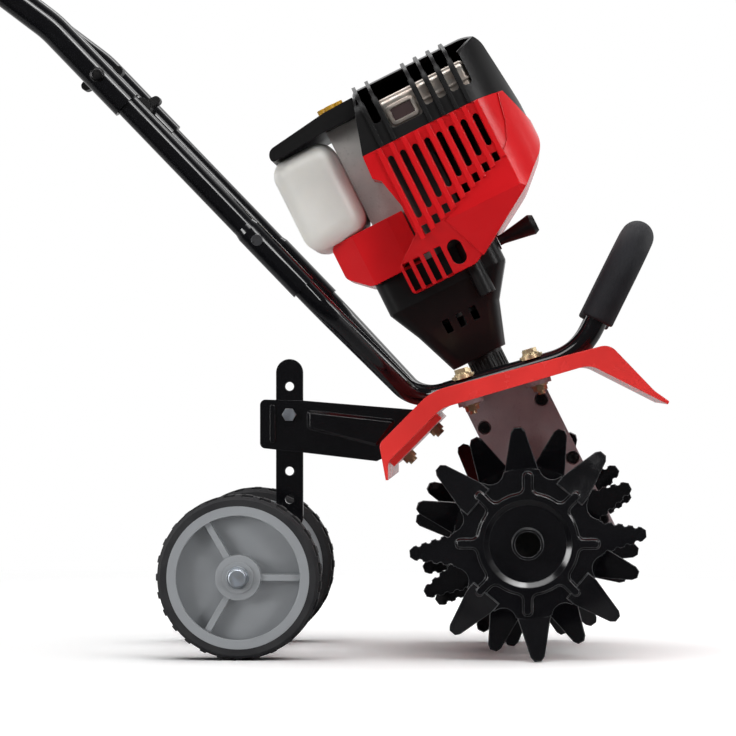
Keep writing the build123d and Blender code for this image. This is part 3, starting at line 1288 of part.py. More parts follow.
def neck_collar():
    """Fluted collar between the guard and the clutch housing."""
    collar = rod_z(COLLAR_RADIUS, -2 * GUARD_DROP, COLLAR_TOP)
    flute = box(COLLAR_RADIUS - COLLAR_FLUTE, COLLAR_RADIUS + 1, -COLLAR_FLUTE, COLLAR_FLUTE,
                -2 * GUARD_DROP, COLLAR_TOP - 3)
    collar -= [Rot(0, 0, index * 360 / COLLAR_FLUTES) * flute for index in range(COLLAR_FLUTES)]
    collar -= rod_z(DRIVE_RADIUS + SHAFT_CLEAR, -3 * GUARD_DROP, COLLAR_TOP + 1)
    collar = ENGINE * collar
    return collar - GUARD * box(-BEYOND, BEYOND, -BEYOND, BEYOND, -BEYOND, -SHEET)


def bell_form(grow):
    """Clutch housing as a stack of rounded rectangles, from its floor to its mouth."""
    sections = [
        (BELL_FLOOR_BACK, BELL_FLOOR_FORE, BELL_FLOOR_HALF, COLLAR_TOP),
        (BELL_WAIST_BACK, BELL_WAIST_FORE, BELL_WAIST_HALF, BELL_WAIST),
        (BELL_BACK, BELL_MOUTH, BELL_HALF, BELL_SHOULDER),
        (BELL_BACK, BELL_MOUTH, BELL_HALF, BELL_TOP),
    ]
    rings = []
    for back, fore, half, w in sections:
        place = Pos((back + fore) / 2, 0, w)
        rings.append(place * RectangleRounded(fore - back + 2 * grow, 2 * half + 2 * grow, BELL_ROUND))
    return loft(rings, ruled=True)


def rope_axis():
    """Along the starter rope, +Z forward."""
    return Pos(0, -REEL_ROPE, GRIP_W) * Rot(0, 90, 0)


def clutch_housing():
    """Housing over the clutch: vents and a screw boss on the near side, and the starter rope's guide."""
    room = bell_form(-BELL_WALL) - box(-BEYOND, BEYOND, -BEYOND, BEYOND, 0, COLLAR_TOP + BELL_WALL)
    bell = bell_form(0) + rod_z(BELL_BOSS, BELL_WAIST + BELL_BOSS, BELL_TOP, BELL_BOSS_U, -BELL_HALF)
    guide_end = GRIP_START - FREE_GAP
    bell += rope_axis() * rod_z(BELL_BOSS, BELL_MOUTH - BELL_WALL, guide_end)
    bell = bell - room - rod_z(DRIVE_RADIUS + SHAFT_CLEAR, 0, BELL_TOP)
    bell -= rod_z(BELL_BOSS / 2, BELL_WAIST, BELL_SHOULDER, BELL_BOSS_U, -BELL_HALF - 2)
    for index in range(VENTS):
        u = VENT_FIRST + index * VENT_PITCH
        bell -= box(u - VENT_HALF, u + VENT_HALF, -2 * BELL_HALF, -BELL_FLOOR_HALF / 2, VENT_LOW, VENT_TOP)
    return ENGINE * (bell - rope_axis() * rod_z(ROPE_HOLE, BELL_MOUTH - 2 * BELL_WALL, GRIP_START + 1))


def clutch_drum():
    cup = rod_z(DRUM_RADIUS, DRUM_FLOOR, DRUM_FLOOR + DRUM_HEIGHT)
    cup -= rod_z(DRUM_RADIUS - DRUM_WALL, DRUM_FLOOR + DRUM_WALL, DRUM_FLOOR + DRUM_HEIGHT + 1)
    return ENGINE * cup


def clutch_hub():
    """Centrifugal hub with two shoes."""
    low = DRUM_FLOOR + DRUM_WALL + CLUTCH_CLEAR
    high = DRUM_FLOOR + DRUM_HEIGHT - CLUTCH_CLEAR
    outer = DRUM_RADIUS - DRUM_WALL - SHOE_GAP
    hub = rod_z(outer, low, high)
    slot = box(-outer, outer, -SHOE_SLOT, SHOE_SLOT, low - 1, high + 1)
    hub -= slot - rod_z(outer - SHOE_DEPTH, low - 2, high + 2)
    hub -= rod_z(CRANK_RADIUS, low - 1, high + 1)
    return ENGINE * hub


def crankshaft():
    low = DRUM_FLOOR + DRUM_WALL + CLUTCH_CLEAR
    return ENGINE * rod_z(CRANK_RADIUS, low, BLOCK_LOW + CRANK_SEAT)


def flywheel():
    top = FLYWHEEL_LOW + FLYWHEEL_HEIGHT
    wheel = rod_z(FLYWHEEL_RADIUS, FLYWHEEL_LOW, top)
    for index in range(BLADE_COUNT):
        blade = box(BLADE_START, FLYWHEEL_RADIUS - 1, -BLADE_HALF, BLADE_HALF, top - 1, top + BLADE_HEIGHT)
        wheel += Rot(0, 0, index * 360 / BLADE_COUNT) * blade
    return ENGINE * (wheel - rod_z(CRANK_RADIUS, FLYWHEEL_LOW - 1, top + BLADE_HEIGHT))


def starter_reel():
    high = REEL_LOW + REEL_HEIGHT
    reel = rod_z(REEL_RADIUS, REEL_LOW, REEL_LOW + REEL_FLANGE) + rod_z(REEL_RADIUS, high - REEL_FLANGE, high)
    reel += rod_z(REEL_ROPE - REEL_GROOVE, REEL_LOW, high)
    return ENGINE * (reel - rod_z(CRANK_RADIUS + FREE_GAP, REEL_LOW - 1, high + 1))


def starter_grip():
    """Tapered pull grip on the rope's axis."""
    section = [
        (0, 0), (GRIP_SMALL, 0), (GRIP_SMALL, 4), (GRIP_LARGE - 1.5, GRIP_REACH - 12),
        (GRIP_LARGE, GRIP_REACH - 4), (GRIP_LARGE - 2, GRIP_REACH), (0, GRIP_REACH),
    ]
    return ENGINE * (rope_axis() * Pos(0, 0, GRIP_START) * lathe(section))


def block_solid(grow):
    """Crankcase volume, grown on every side where a shell has to pass round it."""
    lower = box(BLOCK_BACK - grow, BLOCK_FORE + grow, -BLOCK_HALF - grow, BLOCK_HALF + grow,
                BLOCK_LOW - grow, BLOCK_DECK + grow)
    neck = outline([
        (BLOCK_BACK - grow, BLOCK_LOW), (lid_seam(PARTING) + grow, BLOCK_LOW),
        (lid_seam(PARTING) + grow, PARTING), (lid_seam(BLOCK_TOP) + grow, BLOCK_TOP + grow),
        (BLOCK_BACK - grow, BLOCK_TOP + grow),
    ])
    return lower + slab(neck, -BLOCK_HALF - grow, BLOCK_HALF + grow)


def engine_block():
    """Crankcase and finned cylinder in one casting, with the crankshaft's bearing bore."""
    block = block_solid(0)
    fins_end = BLOCK_FORE + FIN_COUNT * FIN_PITCH
    axis = Pos(0, 0, CYLINDER_W) * Rot(0, 90, 0)
    block += axis * rod_z(CYLINDER_RADIUS, BLOCK_FORE - 1, fins_end)
    for index in range(FIN_COUNT):
        low = BLOCK_FORE + (index + 1) * FIN_PITCH - FIN_THICK
        block += axis * rod_z(FIN_RADIUS, low, low + FIN_THICK)
    block -= rod_z(CRANK_RADIUS + RUN_FIT, BLOCK_LOW - 1, BLOCK_LOW + CRANK_SEAT + 1)
    return ENGINE * block


def envelope_profile():
    return rounded([
        (SHROUD_FOOT_BACK, SHROUD_LOW, 3), (SHROUD_FOOT_FORE, SHROUD_LOW, 14),
        (SHROUD_CHIN_U, SHROUD_CHIN_W, 60),
        (SHROUD_NOSE, SHROUD_NOSE_W, 26), (SHROUD_NOSE, SHROUD_BRIDGE, 30),
        (SHROUD_BROW_U, SHROUD_TOP, SHROUD_BROW), (0, SHROUD_TOP, 6), (SHROUD_BACK, PARTING, 0.5),
        (SHROUD_BACK - 1, SHROUD_TAB_LOW, 1),
        (SHROUD_BACK - 1 + SHROUD_TAB, SHROUD_TAB_LOW - SHROUD_TAB_SLOPE, 1),
        (SHROUD_STEP_U, SHROUD_STEP_TOP, 1), (SHROUD_STEP_U, SHROUD_STEP_LOW, 1),
        (SHROUD_FOOT_BACK, SHROUD_FOOT_TOP, 3),
    ])


def envelope_plan():
    return rounded([
        (-2 * SHROUD_HALF, -SHROUD_HALF, 1), (SHROUD_NOSE, -SHROUD_HALF, SHROUD_CHEEK),
        (SHROUD_NOSE, SHROUD_HALF, SHROUD_CHEEK), (-2 * SHROUD_HALF, SHROUD_HALF, 1),
    ])


def envelope_front():
    half = [
        (SHROUD_FOOT_HALF, SHROUD_LOW - 5, 1), (SHROUD_HALF, SHROUD_HIP, 30),
        (SHROUD_HALF, SHROUD_EAVE, 20), (SHROUD_CROWN, SHROUD_TOP + 0.5, 50),
    ]
    mirrored = [(-y, w, radius) for y, w, radius in reversed(half)]
    return rounded(half + mirrored)


def front_slab(face, u_low, u_high):
    """A flat outline in Y and up, carried along the engine from u_low to u_high."""
    plane = Plane(origin=(u_low, 0, 0), x_dir=(0, 1, 0), z_dir=(1, 0, 0))
    return extrude(plane * face, u_high - u_low)


def envelope(inset):
    """The moulded outer form of the engine covers, from its side, top and front outlines."""
    side = offset(envelope_profile(), -inset) if inset else envelope_profile()
    plan = offset(envelope_plan(), -inset) if inset else envelope_plan()
    front = offset(envelope_front(), -inset) if inset else envelope_front()
    body = slab(side, -SHROUD_HALF, SHROUD_HALF)
    body = body & extrude(plan, 2 * SHROUD_TOP)
    return body & front_slab(front, -2 * SHROUD_HALF, 2 * SHROUD_NOSE)


def cover_region():
    """Side outline of everything above the seam."""
    far = 2 * SHROUD_NOSE
    high = 2 * SHROUD_TOP
    return outline([
        (-far, PARTING), (SEAM_FORE, PARTING), (SEAM_CORNER, PARTING - 2), (SHROUD_NOSE + 1, SEAM_END),
        (far, SEAM_END), (far, high), (-far, high),
    ])


def cover_shell():
    return envelope(0) - envelope(SHROUD_WALL) - block_solid(FREE_GAP)


def cheek_rim():
    """Raised rim of the shroud, round the grille panel and over the nose."""
    far = 2 * SHROUD_NOSE
    region = outline([*CHEEK_LINE, (far, 0), (far, PARTING)])
    rim = envelope(-CHEEK_STAND) & slab(region, -2 * SHROUD_HALF, 2 * SHROUD_HALF)
    return rim - envelope(SHROUD_WALL / 2) - slab(cover_region(), -2 * SHROUD_HALF, 2 * SHROUD_HALF)


def tray_plan():
    """The tray from above: its rear corners are cut back in two facets."""
    half = [
        (TRAY_FORE, TRAY_HALF), (TRAY_FACET, TRAY_HALF), (TRAY_CORNER, TRAY_HALF - TRAY_FACET_IN),
        (TRAY_BACK, TRAY_HALF - TRAY_CORNER_IN),
    ]
    return outline(half + [(u, -y) for u, y in reversed(half)])


def tray():
    """Shroud tray that runs back under the fuel tank."""
    shape = rounded([
        (TRAY_FOOT, BELL_TOP, 8), (TRAY_FORE, BELL_TOP, 1), (TRAY_FORE, TANK_LOW, 1),
        (TRAY_BACK, TANK_LOW, 5), (TRAY_BACK, TRAY_KNEE, 8),
    ])
    shell = slab(shape, -TRAY_HALF, TRAY_HALF) & extrude(tray_plan(), 2 * TANK_LOW)
    room = slab(offset(shape, -SHROUD_WALL), -TRAY_HALF, TRAY_HALF)
    return shell - (room & extrude(offset(tray_plan(), -SHROUD_WALL), 2 * TANK_LOW))


def engine_shroud():
    shell = cover_shell() - slab(cover_region(), -2 * SHROUD_HALF, 2 * SHROUD_HALF)
    shell += tray() + cheek_rim()
    face = -SHROUD_HALF
    for index in range(GRILLE_SLOTS + 1):
        u = GRILLE_FIRST + (index - 0.5) * GRILLE_PITCH
        foot = GRILLE_LOW + (index - 0.5) * GRILLE_CLIMB - GRILLE_RIB_DROP
        half = GRILLE_RIB / 2
        shell += box(u - half, u + half, face - GRILLE_RIB_STAND, face + 1, foot, PARTING - 1)
    for index in range(GRILLE_SLOTS):
        u = GRILLE_FIRST + index * GRILLE_PITCH
        half = GRILLE_SLOT / 2
        foot = GRILLE_LOW + index * GRILLE_CLIMB
        slot = SlotOverall(GRILLE_TOP - foot, GRILLE_SLOT, rotation=90)
        shell -= slab(Pos(u, (foot + GRILLE_TOP) / 2) * slot, face - CUT_OUT, face + CUT_IN)
        top = foot - PORT_DROP
        shell -= box(u - half, u + half, face - CUT_OUT, face + CUT_IN, top - PORT_HEIGHT, top)
    for index in range(COMB_GAPS):
        u = COMB_FIRST + index * COMB_PITCH
        half = COMB_GAP / 2
        shell -= box(u - half, u + half, face - CUT_OUT, -BELL_HALF - 1, SHROUD_LOW - 1, COMB_TOP)
    arch = SlotOverall(COMB_TOP - ARCH_LOW, 2 * ARCH_HALF, rotation=90)
    shell -= slab(Pos(ARCH_U, (COMB_TOP + ARCH_LOW) / 2) * arch, face - CUT_OUT, -BELL_HALF - 1)
    shell -= bell_form(FREE_GAP)
    shell -= rod_z(BELL_BOSS + FREE_GAP, 0, BELL_TOP + FREE_GAP, BELL_BOSS_U, -BELL_HALF)
    shell -= rope_axis() * rod_z(BELL_BOSS + FREE_GAP, 0, 2 * BELL_MOUTH)
    blades = FLYWHEEL_LOW + FLYWHEEL_HEIGHT + BLADE_HEIGHT
    shell -= rod_z(FLYWHEEL_RADIUS + FLYWHEEL_CLEAR, BELL_TOP - 1, blades + FLYWHEEL_CLEAR)
    return ENGINE * (shell - block_solid(FREE_GAP))


def cover_fin(u):
    """A fin that stands on the cover and runs over its top from side to side."""
    arch = offset(envelope_front(), COVER_FIN_STAND) - offset(envelope_front(), -SHROUD_WALL / 2)
    fin = front_slab(arch, u - COVER_FIN / 2, u + COVER_FIN / 2)
    above = box(u - COVER_FIN, u + COVER_FIN, -2 * SHROUD_HALF, 2 * SHROUD_HALF, PARTING, 2 * SHROUD_TOP)
    return fin & above


def muffler_cover():
    shell = cover_shell() & slab(cover_region(), -2 * SHROUD_HALF, 2 * SHROUD_HALF)
    face = -SHROUD_HALF
    fins = [COVER_FIN_BACK, COVER_FIN_BACK + COVER_FIN_PITCH]
    fins += [COVER_FIN_FORE + index * COVER_FIN_PITCH for index in range(COVER_FINS)]
    for u in fins:
        shell += cover_fin(u)
    gaps = [(fins[0], fins[1], WINDOW_LOW + 2 * WINDOW_STEP), (fins[1], fins[2], WINDOW_LOW)]
    gaps += [(back, back + COVER_FIN_PITCH, WINDOW_LOW + WINDOW_STEP) for back in fins[2:]]
    for back, fore, foot in gaps:
        low = back + COVER_FIN / 2 + WINDOW_EDGE
        high = fore - COVER_FIN / 2 - WINDOW_EDGE
        window = RectangleRounded(high - low, WINDOW_TOP - foot, WINDOW_ROUND)
        shell -= slab(Pos((low + high) / 2, (foot + WINDOW_TOP) / 2) * window, face - CUT_OUT, face + CUT_IN)
    return ENGINE * shell


def muffler():
    body = box(MUFFLER_BACK, MUFFLER_FORE, -MUFFLER_NEAR, -MUFFLER_FAR, MUFFLER_LOW, MUFFLER_TOP)
    body = fillet(body.edges(), MUFFLER_ROUND)
    middle = (MUFFLER_LOW + MUFFLER_TOP) / 2
    stand = MUFFLER_SEAM
    seam = box(MUFFLER_BACK - stand, MUFFLER_FORE + stand, -MUFFLER_NEAR - stand, -MUFFLER_FAR,
               middle - stand / 2, middle + stand / 2)
    body += fillet(seam.edges().filter_by(Axis.Z), MUFFLER_ROUND)
    port_y = (-MUFFLER_FAR - BLOCK_HALF) / 2
    port = rod_z(MUFFLER_PORT, BLOCK_DECK, MUFFLER_LOW + MUFFLER_ROUND, MUFFLER_PORT_U, port_y)
    return ENGINE * (body + port)


def tank_neck():
    """Where the filler neck leaves the far side of the tank, in u and w."""
    return ((TANK_BACK + TANK_FORE) / 2, TANK_LOW + TANK_NECK)


def fuel_tank():
    shell = box(TANK_BACK, TANK_FORE, -TANK_HALF, TANK_HALF, TANK_LOW, TANK_TOP)
    shell = fillet(shell.edges(), TANK_ROUND)
    shell += rod_y(NECK_RADIUS, TANK_HALF - NECK_WALL, TANK_HALF + NECK_LENGTH, *tank_neck())
    wall = TANK_WALL
    half = TANK_HALF - wall
    inner = box(TANK_BACK + wall, TANK_FORE - wall, -half, half, TANK_LOW + wall, TANK_TOP - wall)
    shell -= fillet(inner.edges(), TANK_ROUND - wall)
    return ENGINE * (shell - rod_y(NECK_RADIUS - NECK_WALL, 0, TANK_HALF + NECK_LENGTH + 1, *tank_neck()))


def fuel_cap():
    neck_u, neck_w = tank_neck()
    low = TANK_HALF + FREE_GAP
    cap = rod_y(CAP_RADIUS, low, low + CAP_HEIGHT, neck_u, neck_w)
    notch = rod_y(CAP_NOTCH, low - 1, low + CAP_HEIGHT + 1, CAP_RADIUS + CAP_NOTCH / 4, 0)
    for index in range(CAP_NOTCHES):
        cap -= Pos(neck_u, 0, neck_w) * Rot(0, index * 360 / CAP_NOTCHES, 0) * notch
    return ENGINE * (cap - rod_y(NECK_RADIUS + FREE_GAP, low - 1, low + NECK_LENGTH, neck_u, neck_w))


def lid_seam(w):
    """Where the muffler cover's rear edge stands at that height."""
    share = (w - PARTING) / (SHROUD_TOP - PARTING)
    return SHROUD_BACK * (1 - share) - 2 * FREE_GAP


def air_box_cover():
    fore = lid_seam(LID_TOP_FORE)
    shape = rounded([
        (LID_BACK, LID_LOW, 3), (BLOCK_BACK, BLOCK_TOP, 0), (lid_seam(BLOCK_TOP), BLOCK_TOP, 0.5),
        (fore, LID_TOP_FORE, 0.5), (fore - LID_FLAT, LID_TOP_FORE - 1, 20), (LID_BACK, LID_TOP_BACK, 8),
    ])
    lid = slab(shape, -LID_HALF, LID_HALF)
    low = LID_TOP_FORE - CHOKE_BOSS
    lid += rod_z(CHOKE_BOSS, low, LID_TOP_FORE, CHOKE_U, CHOKE_Y)
    pin_top = LID_TOP_FORE + FREE_GAP + CHOKE_HEIGHT
    return ENGINE * (lid + rod_z(CHOKE_PIN, low, pin_top, CHOKE_U, CHOKE_Y))


def choke_lever():
    low = LID_TOP_FORE + FREE_GAP
    shape = Circle(CHOKE_RADIUS)
    for side in SIDES:
        shape += Pos(side * CHOKE_WING, 0) * Circle(CHOKE_RADIUS / 2 + 1)
    lever = Pos(CHOKE_U, CHOKE_Y, low) * extrude(shape - Circle(CHOKE_PIN + RUN_FIT), CHOKE_HEIGHT)
    return ENGINE * lever


# All the nodes

def build():
    nodes = dict(tine_nodes())
    nodes["tine_pins"] = tine_pins()
    nodes["tine_shaft"] = tine_shaft()
    nodes["worm_wheel"] = worm_wheel()
    nodes["worm_shaft"] = worm_shaft()
    nodes["gear_case_right"] = gear_case(-1)
    nodes["gear_case_left"] = gear_case(1)
    nodes["gear_case_screws"] = gear_case_screws()
    nodes["gear_bearings"] = gear_bearings()
    nodes["shaft_seals"] = shaft_seals()
    nodes["tine_guard"] = tine_guard()
    nodes["front_loop"] = front_loop()
    nodes["foam_grip"] = foam_grip()
    nodes["guard_fasteners"] = Compound(children=guard_fasteners())
    for side, word in zip(SIDES, ("right", "left")):
        nodes["lower_handle_" + word] = lower_handle(side)
        nodes["middle_handle_" + word] = middle_handle(side)
        nodes["upper_handle_" + word] = upper_handle(side)
        nodes["hand_grip_" + word] = hand_grip(side)
        nodes["wing_knob_" + word] = wing_knob(side)
        nodes["wheel_rim_" + word] = wheel_rim(side)
        nodes["tyre_" + word] = tyre(side)
    nodes["handle_brace"] = handle_brace()
    nodes["handle_screws"] = handle_screws()
    nodes["carriage_bolts"] = carriage_bolts()
    nodes["throttle_housing"] = throttle_housing()
    nodes["throttle_lever"] = throttle_lever()
    nodes["stop_switch"] = stop_switch()
    nodes["wheel_axle"] = wheel_axle()
    nodes["axle_nuts"] = axle_nuts()
    nodes["wheel_strut"] = wheel_strut()
    nodes["wheel_bracket"] = wheel_bracket()
    nodes["bracket_fasteners"] = Compound(children=bracket_fasteners())
    nodes["neck_collar"] = neck_collar()
    nodes["clutch_housing"] = clutch_housing()
    nodes["clutch_drum"] = clutch_drum()
    nodes["clutch_hub"] = clutch_hub()
    nodes["crankshaft"] = crankshaft()
    nodes["flywheel"] = flywheel()
    nodes["starter_reel"] = starter_reel()
    nodes["starter_grip"] = starter_grip()
    nodes["engine_block"] = engine_block()
    nodes["engine_shroud"] = engine_shroud()
    nodes["muffler_cover"] = muffler_cover()
    nodes["muffler"] = muffler()
    nodes["fuel_tank"] = fuel_tank()
    nodes["fuel_cap"] = fuel_cap()
    nodes["air_box_cover"] = air_box_cover()
    nodes["choke_lever"] = choke_lever()
    return nodes


os.makedirs("parts", exist_ok=True)
for name, shape in build().items():
    export_step(shape, f"parts/{name}.step")
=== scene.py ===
"""Looks of the mini tiller: finishes, grips, the muffler's outlet frame and a plain studio."""

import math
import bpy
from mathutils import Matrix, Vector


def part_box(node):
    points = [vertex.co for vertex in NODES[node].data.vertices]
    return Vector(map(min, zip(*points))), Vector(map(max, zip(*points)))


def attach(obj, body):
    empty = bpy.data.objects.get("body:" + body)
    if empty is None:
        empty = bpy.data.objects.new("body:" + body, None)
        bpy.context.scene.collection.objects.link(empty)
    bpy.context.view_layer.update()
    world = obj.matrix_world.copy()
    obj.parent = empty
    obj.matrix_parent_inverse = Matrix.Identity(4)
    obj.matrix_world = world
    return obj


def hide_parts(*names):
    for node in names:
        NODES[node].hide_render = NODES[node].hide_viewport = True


bl_info = {
    "name": "Mini Tiller Looks",
    "version": (1, 0, 0),
    "blender": (4, 5, 0),
    "location": "3D View > Sidebar > Tiller",
    "description": "Finishes, grips, outlet frame and studio for the mini tiller",
    "category": "Object",
}

import bmesh
import bpy
from mathutils import Matrix, Vector

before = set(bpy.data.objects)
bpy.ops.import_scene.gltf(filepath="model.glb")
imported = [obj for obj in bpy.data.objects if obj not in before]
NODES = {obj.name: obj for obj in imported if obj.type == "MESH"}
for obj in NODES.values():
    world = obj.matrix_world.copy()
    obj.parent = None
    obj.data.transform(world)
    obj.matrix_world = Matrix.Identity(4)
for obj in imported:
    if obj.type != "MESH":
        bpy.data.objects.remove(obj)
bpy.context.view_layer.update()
SIDES = ("left", "right")

# The photograph's frame and the camera that was solved from it
PHOTO_WIDTH = 736
FOCAL_PIXELS = 3173
SENSOR = 36.0
LOOK_PIXEL = (515.0, 382.0)
CAMERA_PLACE = (0.3791, -2.807, 0.2374)
CLIP_NEAR, CLIP_FAR = 0.05, 200.0

# The engine leans back: the foot of its axis, and its own forward and upward directions
ENGINE_FOOT = Vector((0.35497, 0.0, 0.255223))
ENGINE_FORWARD = Vector((0.894934, 0.0, 0.446198))
ENGINE_UPWARD = Vector((-0.446198, 0.0, 0.894934))

# The softboxes: place and size
LAMP_AIM = Vector((0.12, 0.0, 0.36))
KEY_BOX = ((-2.2, -2.0, 0.7), (1.1, 1.2))
FILL_BOX = ((2.3, -1.7, 0.7), (0.6, 1.2))
TOP_BOX = ((0.55, -0.1, 2.3), (3.8, 2.6))

# The strips that draw the highlights: place, size, long direction, and share of the strip power
LEVEL = Vector((1.0, 0.0, 0.0))
DOWN_HANDLE = Vector((0.64, 0.0, -0.77))
STRIPS = {
    "front_strip": ((0.2, -1.5, 1.9), (2.2, 0.7), LEVEL, 2.4),
    "rear_strip": ((0.1, 1.1, 2.0), (2.4, 0.45), LEVEL, 1.4),
    "left_strip": ((-1.9, 0.4, 0.8), (0.4, 1.4), LEVEL, 1.0),
    "right_strip": ((2.2, 0.4, 0.8), (0.4, 1.4), LEVEL, 1.0),
    "tube_strip": ((1.1, -1.7, 1.4), (2.2, 0.25), DOWN_HANDLE, 2.0),
}

# The white backdrop: its level for rays that must not find it white, the fade of what a mirror
# sees of it, the fade of the shaded floor to plain white, and the fade and tones of the floor
# in a mirror
DIM = 0.08
BACKDROP_FADE = (0.0, 0.6)
FLOOR_FADE = (0.65, 1.2)
FLOOR_TONE, SEEN_TONE = 0.85, 1.25
MIRROR_FADE = (-0.3, -0.12)
MIRROR_TONES = (0.02, 0.45)
MIRROR_SHARE = 0.6

# Finishes: the paint's gloss, how far the painted shade on the engine block fades in, and
# where the strut's bolt ends and the bracket's other bolts begin
PAINT_IOR = 1.5
PAINTED_SHADE_FADE = 0.012
STRUT_FADE = (0.205, 0.215)


def colour_property(label, text, value):
    """A colour that a user would change."""
    return bpy.props.FloatVectorProperty(
        name=label, description=text, subtype="COLOR", size=3, min=0.0, max=1.0, default=value
    )


def length_property(label, text, value):
    """A length in metres that a user would change."""
    return bpy.props.FloatProperty(
        name=label, description=text, subtype="DISTANCE", unit="LENGTH", min=0.0, default=value
    )


def slope_property(label, text, degrees):
    """A slope that a user would change."""
    return bpy.props.FloatProperty(
        name=label, description=text, subtype="ANGLE", default=math.radians(degrees)
    )


def power_property(label, text, watts):
    """A lamp's power that a user would change."""
    return bpy.props.FloatProperty(name=label, description=text, unit="POWER", default=watts)


class TillerColours(bpy.types.PropertyGroup):
    """Base colours of the finishes."""

    red: colour_property("Red", "Moulded shroud and stop switch", (0.66, 0.008, 0.012))
    guard: colour_property("Guard", "Paint on the tine guard", (0.72, 0.036, 0.032))
    black: colour_property("Black", "Painted tubes, bracket and tines", (0.004, 0.004, 0.005))
    moulded: colour_property("Moulded black", "Engine covers and knobs", (0.006, 0.0057, 0.006))
    case: colour_property("Gear case", "Cast gear case", (0.36, 0.275, 0.285))
    alloy: colour_property("Alloy", "Cast engine block", (0.50, 0.48, 0.46))
    zinc: colour_property("Zinc", "Yellow plated fasteners", (0.62, 0.50, 0.31))
    silver: colour_property("Silver", "Bright plated fasteners", (0.62, 0.65, 0.68))
    rim: colour_property("Rim", "Moulded wheel rims", (0.275, 0.288, 0.302))
    tyre: colour_property("Tyre", "Rubber of tyres, grips and seals", (0.016, 0.016, 0.018))
    foam: colour_property("Foam", "Foam sleeve", (0.008, 0.008, 0.010))
    tank: colour_property("Tank", "Blow moulded fuel tank", (0.78, 0.76, 0.71))
    yellow: colour_property("Yellow", "Choke knob", (0.80, 0.42, 0.02))


class TillerGrips(bpy.types.PropertyGroup):
    """Sizes of the soft grips."""

    foam_radius: length_property("Foam radius", "Outside of the foam sleeve", 0.0145)
    tube_radius: length_property("Loop radius", "Tube inside the foam sleeve", 0.00955)
    foam_bend: length_property("Foam bend", "Bend of the loop under the foam", 0.042)
    foam_slope: slope_property("Loop slope", "Slope of the loop's legs", 63.7)
    grip_radius: length_property("Grip radius", "Outside of a hand grip", 0.0165)
    grip_bore: length_property("Grip bore", "Handle tube inside a hand grip", 0.01275)
    grip_slope: slope_property("Grip slope", "Slope of the hand grips", 8.0)


class TillerStage(bpy.types.PropertyGroup):
    """Sizes and levels of the studio."""

    floor_size: length_property("Floor", "Width of the floor", 60.0)
    key_power: power_property("Key", "Power of the key softbox", 48.0)
    fill_power: power_property("Fill", "Power of the fill softbox", 22.0)
    top_power: power_property("Top", "Power of the softbox overhead", 84.0)
    strip_power: power_property("Strip", "Power of a strip that draws the highlights", 10.0)
    ambient: bpy.props.FloatProperty(
        name="Ambient", description="Strength of the world's light", default=0.07
    )


class Wire:
    """A shader socket on which Python arithmetic adds Math nodes."""

    def __init__(self, board, socket):
        self.board = board
        self.socket = socket

    def maths(self, operation, first, second):
        return self.board.add("ShaderNodeMath", {"operation": operation}, {0: first, 1: second})

    def __add__(self, other):
        return self.maths("ADD", self, other)

    def __radd__(self, other):
        return self.maths("ADD", other, self)

    def __sub__(self, other):
        return self.maths("SUBTRACT", self, other)

    def __rsub__(self, other):
        return self.maths("SUBTRACT", other, self)

    def __mul__(self, other):
        return self.maths("MULTIPLY", self, other)

    def __rmul__(self, other):
        return self.maths("MULTIPLY", other, self)

    def at_least(self, other):
        return self.maths("MAXIMUM", self, other)


class Board:
    """A node tree that is filled through one method."""

    def __init__(self, tree):
        self.tree = tree
        tree.nodes.clear()

    def add(self, kind, settings=None, sockets=None, output=0):
        node = self.tree.nodes.new(kind)
        for name, value in (settings or {}).items():
            setattr(node, name, value)
        for key, value in (sockets or {}).items():
            if isinstance(value, Wire):
                self.tree.links.new(value.socket, node.inputs[key])
            else:
                node.inputs[key].default_value = value
        return Wire(self, node.outputs[output]) if len(node.outputs) else node

    def place(self):
        return self.add("ShaderNodeTexCoord", output="Object")

    def axis_of(self, vector, axis):
        return self.add("ShaderNodeSeparateXYZ", None, {"Vector": vector}, output=axis)

    def dot(self, first, second):
        return self.add(
            "ShaderNodeVectorMath", {"operation": "DOT_PRODUCT"}, {0: first, 1: second}, output="Value"
        )

    def noise(self, place, scale, detail):
        return self.add(
            "ShaderNodeTexNoise", None, {"Vector": place, "Scale": scale, "Detail": detail}
        )

    def ramp(self, value, low, high):
        return self.add(
            "ShaderNodeMapRange", {"clamp": True}, {"Value": value, "From Min": low, "From Max": high}
        )

    def patches(self, place, scale, detail, low, high):
        """Noise with its contrast raised: 0 up to the low level, 1 from the high one."""
        return self.ramp(self.noise(place, scale, detail), low, high)

    def blend(self, share, first, second):
        return self.add(
            "ShaderNodeMix", {"data_type": "RGBA"}, {0: share, 6: first, 7: second}, output=2
        )

    def bump(self, strength, distance, height, normal=None):
        sockets = {"Strength": strength, "Distance": distance, "Height": height}
        if normal is not None:
            sockets["Normal"] = normal
        return self.add("ShaderNodeBump", None, sockets)

    def rays(self):
        """Masks of the rays from the camera, from a mirror and through glass."""
        kinds = ("Is Camera Ray", "Is Glossy Ray", "Is Transmission Ray")
        return [self.add("ShaderNodeLightPath", output=kind) for kind in kinds]


def shade(colour, share=1.0):
    """A colour made lighter or darker, with its alpha."""
    return (*(min(1.0, part * share) for part in colour[:3]), 1.0)


def grey(level):
    """A grey with its alpha."""
    return (level, level, level, 1.0)


def new_board(name):
    """An empty material and its board."""
    material = bpy.data.materials.new(name)
    material.use_nodes = True
    return material, Board(material.node_tree)


def soft_edge(board, radius):
    """The normal of an edge with a small round on it, and a mask of such edges."""
    normal = board.add("ShaderNodeBevel", {"samples": 4}, {"Radius": radius})
    flat = board.add("ShaderNodeNewGeometry", output="Normal")
    return normal, board.ramp(1.0 - board.dot(normal, flat), low=0.05, high=0.2)


